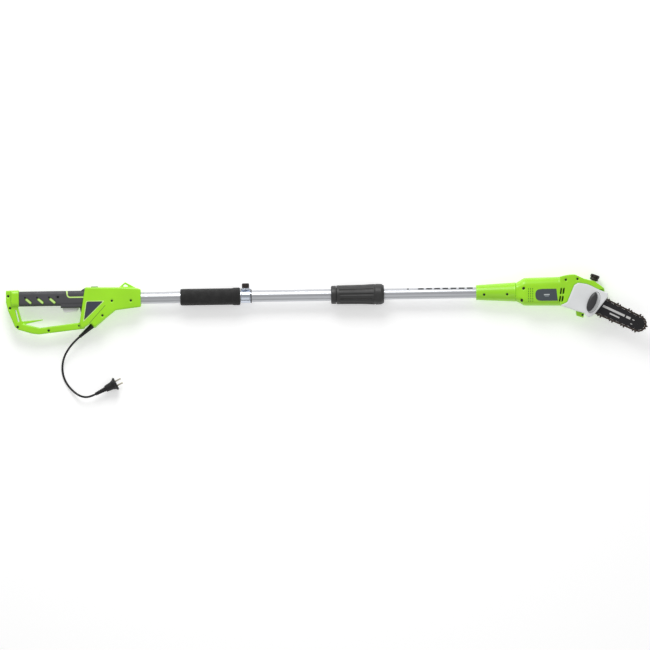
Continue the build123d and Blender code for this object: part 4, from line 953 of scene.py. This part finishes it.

# %% [markdown]
# ## Bar knob
# One broad oval knob clamps the bar through the cover. It is a low dome with an undercut edge on
# a hollow stem, and a thin oval rim frames its seat. The rim is the seat's edge, and its dark grey is
# painted shade.

# %% Oval knob and its stem
knob_at = Vector(joints["bar_knob_turn"]["pos_m"])
KNOB_LONG = 0.0305
KNOB_SHORT = 0.0125
KNOB_LEAN = radians(66)
base_z = knob_at.z + 0.0006
top_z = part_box("bar_knob")[1][2]
oval_profile = [
    (base_z, 0), (base_z, 0.95), (base_z + 0.0015, 1.0), (base_z + 0.0060, 0.99), (top_z - 0.0022, 0.88),
    (top_z - 0.0006, 0.62), (top_z, 0.3), (top_z, 0),
]
oval = turned(filled(oval_profile, 0.2), 120)
knob_place = Matrix.Translation((knob_at.x, knob_at.y, 0))
knob_turn = Matrix.Rotation(KNOB_LEAN, 4, "Z")
oval.transform(knob_place @ knob_turn @ Matrix.Diagonal((KNOB_LONG, KNOB_SHORT, 1, 1)))
stem_hole = [(0.0253, 0.0041), (0.0253, 0.0069), (base_z + 0.001, 0.0069), (base_z + 0.001, 0.0041)]
stem = carried(turned(stem_hole, 48, bored=True), (knob_at.x, knob_at.y, 0), (0, 0, 1))
add_piece("bar_clamp_knob", joined(oval, stem), "knob_grey", "bar_knob", "bar_knob", sharp=60)

# %% Thin oval rim that frames the knob's seat in the cover, dark grey as painted shade
cover_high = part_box("sprocket_cover")[1]
rim_profile = [(0.0, 1.0), (0.0009, 1.0), (0.0012, 0.985), (0.0009, 0.97), (0.0, 0.97)]
seat_shade_rim = turned(rim_profile, 120, bored=True)
rim_at = Matrix.Translation((knob_at.x + 0.0045, knob_at.y - 0.001, cover_high[2] - 0.0007))
seat_shade_rim.transform(rim_at @ knob_turn @ Matrix.Diagonal((0.0330, 0.0168, 1, 1)))
# The rim's dark grey on the white cover is painted shade along the seat's edge.
add_piece("knob_seat_rim", seat_shade_rim, "coupler_grey", "boom")

# %% [markdown]
# ## Screws
# Black pan-head screws with a cross recess hold each pair of shells. The CAD model says where each
# one is. One screw is modelled with its recess, and a node tree puts a copy on every place.

# %% Where the CAD screws are
def loose_boxes(node_name):
    """The lowest and highest corner of each separate solid in a CAD node."""
    build = bmesh.new()
    build.from_mesh(nodes[node_name].data)
    bmesh.ops.remove_doubles(build, verts=build.verts, dist=0.00001)
    unseen = set(build.verts)
    boxes = []
    while unseen:
        front = [unseen.pop()]
        island = list(front)
        while front:
            for edge in front.pop().link_edges:
                for vertex in edge.verts:
                    if vertex in unseen:
                        unseen.discard(vertex)
                        front.append(vertex)
                        island.append(vertex)
        low = Vector([min(vertex.co[axis] for vertex in island) for axis in range(3)])
        high = Vector([max(vertex.co[axis] for vertex in island) for axis in range(3)])
        boxes.append((low, high))
    build.free()
    return sorted(boxes, key=lambda box: box[0].x)


def slab(outline, low, high, bevel=0.0):
    """A flat plate of any outline between two heights, with its edges broken."""
    build = bmesh.new()
    foot = build.faces.new([build.verts.new((x, y, low)) for x, y in outline])
    lifted = bmesh.ops.extrude_face_region(build, geom=[foot])
    tops = [item for item in lifted["geom"] if isinstance(item, bmesh.types.BMVert)]
    bmesh.ops.translate(build, verts=tops, vec=(0, 0, high - low))
    bmesh.ops.recalc_face_normals(build, faces=build.faces)
    if bevel:
        bmesh.ops.bevel(
            build, geom=list(build.edges), offset=bevel, segments=2, affect="EDGES", profile=0.7
        )
    mesh = bpy.data.meshes.new("slab")
    build.to_mesh(mesh)
    build.free()
    return mesh


def pattern(name, mesh):
    """A part that a node tree copies. It stays out of the scene."""
    return bpy.data.objects.new(name, mesh)


# %% One screw, and the tree that places it
screw_boxes = loose_boxes("handle_screws")
head_r = (screw_boxes[0][1].x - screw_boxes[0][0].x) / 2
screw_long = screw_boxes[0][1].z - screw_boxes[0][0].z
screw_profile = [
    (-screw_long, 0), (-screw_long, head_r * 0.5), (-0.0022, head_r * 0.5), (-0.0022, head_r),
    (-0.0008, head_r), (0, head_r * 0.7), (0, 0),
]
screw_mesh = turned(eased(screw_profile, 0.0005), 40)
arm = [
    (-0.0003, -head_r * 0.55), (0.0003, -head_r * 0.55), (0.0003, head_r * 0.55), (-0.0003, head_r * 0.55)
]
cross = joined(slab(arm, -0.0011, 0.001), slab([(y, -x) for x, y in arm], -0.00111, 0.0011))
cross_tool = bpy.data.objects.new(
    "cross_tool", through(cross, ("REMESH", {"mode": "SHARP", "octree_depth": 6}))
)
bpy.context.scene.collection.objects.link(cross_tool)
screw_mesh = through(
    screw_mesh, ("BOOLEAN", {"operation": "DIFFERENCE", "object": cross_tool, "solver": "EXACT"})
)
bpy.data.objects.remove(cross_tool)
screw_part = pattern("screw_part", screw_mesh)

placer = Grower("placer", {"Spin": 1.0}, ["Part"])
part_info = placer.add("GeometryNodeObjectInfo", {"Object": placer.sizes["Part"]})
spin = placer.add(
    "FunctionNodeRandomValue",
    {2: 0.0, 3: 6.28, "ID": placer.add("GeometryNodeInputIndex").outputs[0], "Seed": 7},
    data_type="FLOAT",
)
spin_share = placer.maths("MULTIPLY", spin.outputs[1], placer.sizes["Spin"])
spin_turn = placer.add("ShaderNodeCombineXYZ", {"Z": spin_share})
placed = placer.add(
    "GeometryNodeInstanceOnPoints",
    {
        "Points": placer.sizes["Geometry"], "Instance": part_info.outputs["Geometry"],
        "Rotation": spin_turn.outputs[0],
    },
)
placer_tree = placer.done(placed.outputs["Instances"])


def copies_at(places, part, finish_name, spin=1.0):
    """One plain mesh with a copy of the part on each place, turned at random unless spin is 0."""
    dots = bpy.data.meshes.new("places")
    dots.from_pydata([tuple(place) for place in places], [], [])
    return grown(dots, placer_tree, {"Part": part, "Spin": spin, "Finish": finishes[finish_name]})


for node_name, body in (("handle_screws", "handle"), ("head_screws", "boom")):
    tops = [((low.x + high.x) / 2, (low.y + high.y) / 2, high.z) for low, high in loose_boxes(node_name)]
    add_piece(
        f"{node_name}_cross_head", copies_at(tops, screw_part, "screw_black"), "screw_black", body,
        node_name,
    )

# %% [markdown]
# ## Saw chain
# A chain is drive links in the bar's groove, joined by pairs of side straps, and on every second
# pair one strap carries a cutter with a bent top plate and a depth gauge ahead of it. Laying 58
# links by hand would be slow and uneven, so a node tree walks round the bar and places them.

# %% The path that the rivets follow
BAR_MID_Z = nose_at.z
nose_along = (Vector((nose_at.x, nose_at.y)) - Vector((sprocket_at.x, sprocket_at.y))).length
REAR_R = 0.0215
NOSE_R = 0.0223
SHOULDER = (0.072, 0.0263)
LINKS = 58
flat_path = [(0.0, REAR_R), SHOULDER, (nose_along, NOSE_R)]
flat_path += [(nose_along + NOSE_R * sin(pi * k / 36), NOSE_R * cos(pi * k / 36)) for k in range(1, 36)]
flat_path += [(nose_along, -NOSE_R), (SHOULDER[0], -SHOULDER[1]), (0.0, -REAR_R)]
flat_path += [(-REAR_R * sin(pi * k / 36), -REAR_R * cos(pi * k / 36)) for k in range(1, 36)]
runs = [hypot(b[0] - a[0], b[1] - a[1]) for a, b in zip(flat_path, flat_path[1:] + flat_path[:1])]
pitch = sum(runs) / LINKS


def path_at(distance):
    """The place on the path at a distance from its start."""
    left = distance % sum(runs)
    for index, run in enumerate(runs):
        if left <= run:
            a = flat_path[index]
            b = flat_path[(index + 1) % len(flat_path)]
            return on_bar(a[0] + (b[0] - a[0]) * left / run, a[1] + (b[1] - a[1]) * left / run, BAR_MID_Z)
        left -= run
    return on_bar(*flat_path[0], BAR_MID_Z)


chain_curve = bpy.data.curves.new("chain_path", "CURVE")
chain_curve.dimensions = "3D"
chain_spline = chain_curve.splines.new("POLY")
chain_spline.points.add(LINKS * 4 - 1)
for index, control in enumerate(chain_spline.points):
    control.co = (*path_at(pitch * (0.5 + index / 4)), 1)
chain_spline.use_cyclic_u = True
print("chain pitch, mm:", round(pitch * 1000, 2))

# %% Link shapes: strap, drive link and cutter
half = 0.00725
STRAP_IN = 0.00095
STRAP_OUT = 0.0026
strap_outline = [
    (-half, -0.0022), (-half + 0.0015, -0.0030), (half - 0.0015, -0.0030), (half, -0.0022), (half, 0.0016)
]
strap_outline += [
    (half - 0.0018, 0.0030), (0.0014, 0.0024), (-0.0014, 0.0024), (-half + 0.0018, 0.0030),
    (-half, 0.0016),
]
drive_outline = [
    (-half, -0.0010), (-0.0030, -0.0040), (-0.0010, -0.0070), (0.0020, -0.0070), (0.0035, -0.0040),
    (half, -0.0010),
]
drive_outline += [(half, 0.0024), (-half, 0.0024)]
cutter_outline = [
    (-half, -0.0030), (half, -0.0030), (half, 0.0014), (0.0058, 0.0052), (0.0030, 0.0057),
    (0.0012, 0.0022),
]
cutter_outline += [(-0.0012, 0.0022), (-0.0022, 0.0068), (-0.0064, 0.0060), (-half, 0.0020)]
top_plate = [(-0.0066, 0.0052), (-0.0022, 0.0060), (-0.0022, 0.0071), (-0.0064, 0.0064)]


def rivets(side):
    """The two rivet heads at a strap's ends, on its outer face."""
    heads = []
    for way in (-1, 1):
        head = turned(eased([(0.0, 0), (0.0, 0.0019), (0.0006, 0.0017), (0.0008, 0)], 0.0003), 14)
        head.transform(
            Matrix.Translation((way * 0.00469, 0, side * STRAP_OUT)) @ Matrix.Diagonal((1, 1, side, 1))
        )
        heads.append(head)
    return heads


def strap(side):
    """A side strap with its rivet heads."""
    heights = sorted((side * STRAP_IN, side * STRAP_OUT))
    return [slab(strap_outline, *heights, 0.0003)] + rivets(side)


def cutter(side):
    """A cutter: a taller strap with a top plate bent towards the middle."""
    heights = sorted((side * STRAP_IN, side * (STRAP_OUT + 0.0003)))
    plate_heights = sorted((-side * 0.0016, side * (STRAP_OUT + 0.0003)))
    return [slab(cutter_outline, *heights, 0.0003), slab(top_plate, *plate_heights, 0.0002)] + rivets(side)


link_parts = {
    "Straps": pattern("strap_part", joined(*strap(1), *strap(-1))),
    "Drive": pattern("drive_part", slab(drive_outline, -0.00065, 0.00065, 0.0002)),
    "Left Cutter": pattern("left_cutter_part", joined(*cutter(-1), *strap(1))),
    "Right Cutter": pattern("right_cutter_part", joined(*cutter(1), *strap(-1))),
}

# %% The tree that walks round the path
walker = Grower("chain_walker", {"Links": LINKS}, list(link_parts))
even_path = walker.add(
    "GeometryNodeResampleCurve", {"Curve": walker.sizes["Geometry"], "Count": walker.sizes["Links"]}
)
heading = walker.add(
    "FunctionNodeAlignRotationToVector", {
        "Vector": walker.add("GeometryNodeInputTangent").outputs[0]
    }, axis="X", pivot_axis="Z"
)
number = walker.add("GeometryNodeInputIndex").outputs[0]
link_join = walker.add("GeometryNodeJoinGeometry")
for part_name, cycle, turn_of in (
    ("Drive", 2, 0), ("Straps", 4, 3), ("Left Cutter", 8, 1), ("Right Cutter", 8, 5)
):
    place_in_cycle = walker.maths("MODULO", number, float(cycle))
    chosen = walker.maths(
        "LESS_THAN",
        walker.maths("ABSOLUTE", walker.maths("SUBTRACT", place_in_cycle, float(turn_of))),
        0.5,
    )
    info = walker.add("GeometryNodeObjectInfo", {"Object": walker.sizes[part_name]})
    inputs = {
        "Points": even_path.outputs[0], "Selection": chosen, "Instance": info.outputs["Geometry"],
        "Rotation": heading.outputs[0],
    }
    laid = walker.add("GeometryNodeInstanceOnPoints", inputs)
    walker.tree.links.new(laid.outputs["Instances"], link_join.inputs["Geometry"])
chain_tree = walker.done(link_join.outputs["Geometry"])
chain_mesh = grown(
    chain_curve, chain_tree, {"Links": LINKS, "Finish": finishes["chain_steel"]} | link_parts
)
add_piece(
    "saw_chain", chain_mesh, "chain_steel", "guide_bar", "chain_straps", "chain_drive_links",
    "chain_cutters", sharp=30,
)

# %% [markdown]
# ## Label, vents and louvres
# A dark label with a round rear end sits in a shallow seat on the motor barrel. Ahead of it are
# four slanted air outlets, drawn as black plates of painted shade for the dark inside of each opening,
# and behind it rows of small louvres, coloured a darker green as painted shade. All of them follow the
# barrel, so each point of them is dropped onto the CAD surface below it.

# %% Dropping points onto the barrel
def tree_of(skin):
    """A search tree of a mesh, to drop points onto."""
    points = [vertex.co.copy() for vertex in skin.vertices]
    return BVHTree.FromPolygons(points, [tuple(polygon.vertices) for polygon in skin.polygons])


barrel_tree = tree_of(nodes["motor_housing_right"].data)


def surface_z(x, y, ground=barrel_tree):
    """The height of an outer face under a place."""
    hit = ground.ray_cast(Vector((x, y, 0.2)), Vector((0, 0, -1)))
    return hit[0].z if hit[0] else 0.0


def laid_patch(left, right, y_low, y_high, lift, sink, columns=30, rows=18, ground=barrel_tree):
    """A closed plate on a face between two side lines, each a rule that gives x for a height y."""
    build = bmesh.new()
    grids = []
    for height in (lift, -sink):
        grid = []
        for row in range(rows + 1):
            y = y_low + (y_high - y_low) * row / rows
            line = []
            for column in range(columns + 1):
                x = left(y) + (right(y) - left(y)) * column / columns
                line.append(build.verts.new((x, y, surface_z(x, y, ground) + height)))
            grid.append(line)
        grids.append(grid)
    for grid in grids:
        for row in range(rows):
            for column in range(columns):
                build.faces.new(
                    (
                        grid[row][column], grid[row][column + 1], grid[row + 1][column + 1],
                        grid[row + 1][column],
                    )
                )
    upper, lower = grids
    border = [(0, c) for c in range(columns)] + [(r, columns) for r in range(rows)]
    border += [(rows, c) for c in range(columns, 0, -1)] + [(r, 0) for r in range(rows, 0, -1)]
    for (r0, c0), (r1, c1) in zip(border, border[1:] + border[:1]):
        build.faces.new((upper[r0][c0], upper[r1][c1], lower[r1][c1], lower[r0][c0]))
    mesh = bpy.data.meshes.new("patch")
    build.to_mesh(mesh)
    build.free()
    return mesh


# %% Label with a round rear end
LABEL_MID = label_y
LABEL_HALF = (label_high[1] - label_low[1]) / 2 - 0.0012
END_R = 0.0200


def label_left(y):
    """The rear end: nearly a half circle."""
    off = min(1.0, abs(y - LABEL_MID) / LABEL_HALF)
    return label_low[0] - 0.0040 + END_R * (1 - (1 - off**2.6) ** (1 / 2.6))


def label_right(y):
    """The front end: a slanted line."""
    return label_high[0] - 0.0055 + 0.002 * (LABEL_MID - y) / LABEL_HALF


label_mesh = laid_patch(
    label_left, label_right, LABEL_MID - LABEL_HALF, LABEL_MID + LABEL_HALF, 0.0007, 0.001, 40, 24
)
add_piece("badge", label_mesh, "label_dark", "boom", "label_plate", sharp=60)

# %% Slanted air outlets and louvres, both darkened with painted shade
OUTLET_HALF = 0.0080
OUTLET_SLANT = 0.12


def outlet_side(x, y, shift):
    """One side line of an outlet, as a rule that gives x for a height."""
    return lambda height: x + shift + OUTLET_SLANT * (height - y)


# Each outlet is a black plate laid on the barrel: painted shade that stands for the dark inside of the
# opening.
outlets = []
for x, y in ((0.7062, 0.0005), (0.7135, 0.0005), (0.7035, -0.0232), (0.7098, -0.0232)):
    rear = outlet_side(x, y, -0.0015)
    front = outlet_side(x, y, 0.0015)
    outlets.append(laid_patch(rear, front, y - OUTLET_HALF, y + OUTLET_HALF, 0.0003, 0.001, 3, 12))
add_piece("air_outlets", joined(*outlets), "button_black", "boom")

louvre_places = []
for column in range(3):
    for row in range(6):
        x = 0.6095 + column * 0.0062
        y = 0.0085 - row * 0.0072
        louvre_places.append((x, y, surface_z(x, y) + 0.0001))
louvre_profile = [
    (-0.0009, -0.0024), (0.0009, -0.0024), (0.0011, -0.0014), (0.0011, 0.0014), (0.0009, 0.0024),
    (-0.0009, 0.0024),
]
louvre_part = pattern("louvre_part", slab(louvre_profile, -0.0006, 0.0004, 0.0002))
# The louvres are a darker green than the shell: painted shade in the louvre slots.
plastic("louvre_painted_shade", from_screen(92, 150, 14), 0.5)
louvre_mesh = copies_at(louvre_places, louvre_part, "louvre_painted_shade", spin=0.0)
add_piece("louvres", louvre_mesh, "louvre_painted_shade", "boom")

# %% [markdown]
# ## Small details on the handle
# The grip has three slanted inserts of pale plastic with a dark dot of painted shadow above each,
# the side panel has a pale border, and a fine dark line of painted shade marks the groove across the
# snout. They are thin plates on the shell's face, and the lug under the motor gets a dark eyelet.

# %% Inserts in the grip, and dots of painted shadow above them
pad_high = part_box("grip_pad_right")[1]
pad_tree = tree_of(bpy.data.objects["grip_pad_right_moulding"].data)
INSERT_FIRST_X = -0.889
INSERT_Y = -0.005
DOT_BEHIND = 0.0102
DOT_Y = 0.0059
INSERT_PITCH = 0.036
INSERT_LONG = 0.0200
INSERT_WIDE = 0.0060
insert_turn = Matrix.Rotation(radians(-41), 4, "Z")
half_straight = (INSERT_LONG - INSERT_WIDE) / 2
insert_outline = []
for end in (1, -1):
    for step in range(13):
        angle = radians(-90 + 15 * step) if end == 1 else radians(90 + 15 * step)
        insert_outline.append(
            (end * half_straight + INSERT_WIDE / 2 * cos(angle), INSERT_WIDE / 2 * sin(angle))
        )
inserts = []
dots = []
for number_along in range(3):
    insert_x = INSERT_FIRST_X + INSERT_PITCH * number_along
    insert_mesh = slab(insert_outline, pad_high[2] - 0.0018, pad_high[2] - 0.0004, 0.0003)
    insert_mesh.transform(Matrix.Translation((insert_x, INSERT_Y, 0)) @ insert_turn)
    inserts.append(insert_mesh)
    dot_x = insert_x - DOT_BEHIND
    dots.append((dot_x, DOT_Y, surface_z(dot_x, DOT_Y, pad_tree)))
add_piece("grip_inserts", joined(*inserts), "pale_green", "handle")
# Each dark dot is a painted shadow at the top corner of an insert.
dot_part = pattern("dot_part", turned([(-0.0008, 0), (-0.0008, 0.0028), (0.0002, 0.0028), (0.0005, 0)], 24))
add_piece("grip_dots", copies_at(dots, dot_part, "screw_black"), "screw_black", "handle")

# %% Border round the side panel, painted groove shade across the snout, and eyelet in the lug
panel_points = [vertex.co for vertex in nodes["side_panel_right"].data.vertices]
panel_top = max(point.z for point in panel_points)
corner_rear = max(panel_points, key=lambda point: point.y - point.x)
corner_front = max(panel_points, key=lambda point: point.x)
corner_low = min(panel_points, key=lambda point: point.y)
corners = [corner_rear, corner_front, corner_low]
sides = [(corners[(k + 1) % 3] - corners[(k + 2) % 3]).length for k in range(3)]
inner_x = sum(corner.x * side for corner, side in zip(corners, sides)) / sum(sides)
inner_y = sum(corner.y * side for corner, side in zip(corners, sides)) / sum(sides)


def panel_loop(factor):
    """The panel's outline drawn larger or smaller round its middle, with rounded corners."""
    points = [
        (inner_x + (corner.x - inner_x) * factor, inner_y + (corner.y - inner_y) * factor)
        for corner in corners
    ]
    return eased(points, 0.0050 * factor, looped=True)


def bordered(outer, inner, low, high):
    """A flat ring between two outlines with as many points each."""
    build = bmesh.new()
    rings = [
        [build.verts.new((x, y, z)) for x, y in loop]
        for loop, z in ((outer, low), (outer, high), (inner, high), (inner, low))
    ]
    for first, second in zip(rings, rings[1:] + rings[:1]):
        for step in range(len(outer)):
            after = (step + 1) % len(outer)
            build.faces.new((first[step], first[after], second[after], second[step]))
    mesh = bpy.data.meshes.new("border")
    build.to_mesh(mesh)
    build.free()
    return mesh


border_high = bordered(panel_loop(1.13), panel_loop(0.99), panel_top - 0.0006, panel_top + 0.0006)
border_low = bordered(panel_loop(1.13), panel_loop(0.99), -panel_top - 0.0006, -panel_top + 0.0006)
add_piece("panel_borders", joined(border_high, border_low), "pale_green", "handle")

shell_tree = tree_of(bpy.data.objects["handle_shell_right_moulding"].data)
GUARD_SCREW_AT = (-0.7390, -0.0805)
LUG_HOLE_AT = (0.771, -0.072)
guard_screw = (*GUARD_SCREW_AT, surface_z(*GUARD_SCREW_AT, shell_tree) + 0.0002)
add_piece("guard_screw", copies_at([guard_screw], screw_part, "screw_black"), "screw_black", "handle")
LINE_TOP = Vector((-0.6586, -0.0202))
LINE_FOOT = Vector((-0.7068, -0.0731))
line_slope = (LINE_TOP.x - LINE_FOOT.x) / (LINE_TOP.y - LINE_FOOT.y)


def line_left(y):
    """The rear side of the line."""
    return LINE_TOP.x + line_slope * (y - LINE_TOP.y) - 0.0007


def line_right(y):
    """The front side of the line."""
    return line_left(y) + 0.0014


# The snout's groove is drawn as a thin dark strip on the shell: painted shade in the groove.
snout_line = laid_patch(line_left, line_right, LINE_FOOT.y, LINE_TOP.y, 0.0001, 0.0008, 2, 40, shell_tree)
add_piece("snout_line", snout_line, "coupler_grey", "handle")

lug_eyelet = turned([(-0.0006, 0), (-0.0006, 0.0031), (0.0002, 0.0031), (0.0002, 0)], 32)
lug_tree = tree_of(bpy.data.objects["motor_housing_right_moulding"].data)
eyelet_at = (*LUG_HOLE_AT, surface_z(*LUG_HOLE_AT, lug_tree))
add_piece("lug_eyelet", carried(lug_eyelet, eyelet_at, (0, 0, 1)), "button_black", "boom")

# %% Bench
bench_mesh = bpy.data.meshes.new("bench")
bench_mesh.from_pydata(
    [(-6, -6, bench_z), (6, -6, bench_z), (6, 6, bench_z), (-6, 6, bench_z)], [], [(0, 1, 2, 3)]
)
bench = bpy.data.objects.new("bench", bench_mesh)
bench_finish = bpy.data.materials.new("pale_bench")
bench_finish.use_nodes = True
bench_inputs = bench_finish.node_tree.nodes["Principled BSDF"].inputs
bench_inputs["Base Color"].default_value = (0.9, 0.9, 0.9, 1)
bench_inputs["Roughness"].default_value = 0.7
bench_inputs["Emission Color"].default_value = (1, 1, 1, 1)
bench_inputs["Emission Strength"].default_value = 0.36
bench_mesh.materials.append(bench_finish)
bpy.context.scene.collection.objects.link(bench)
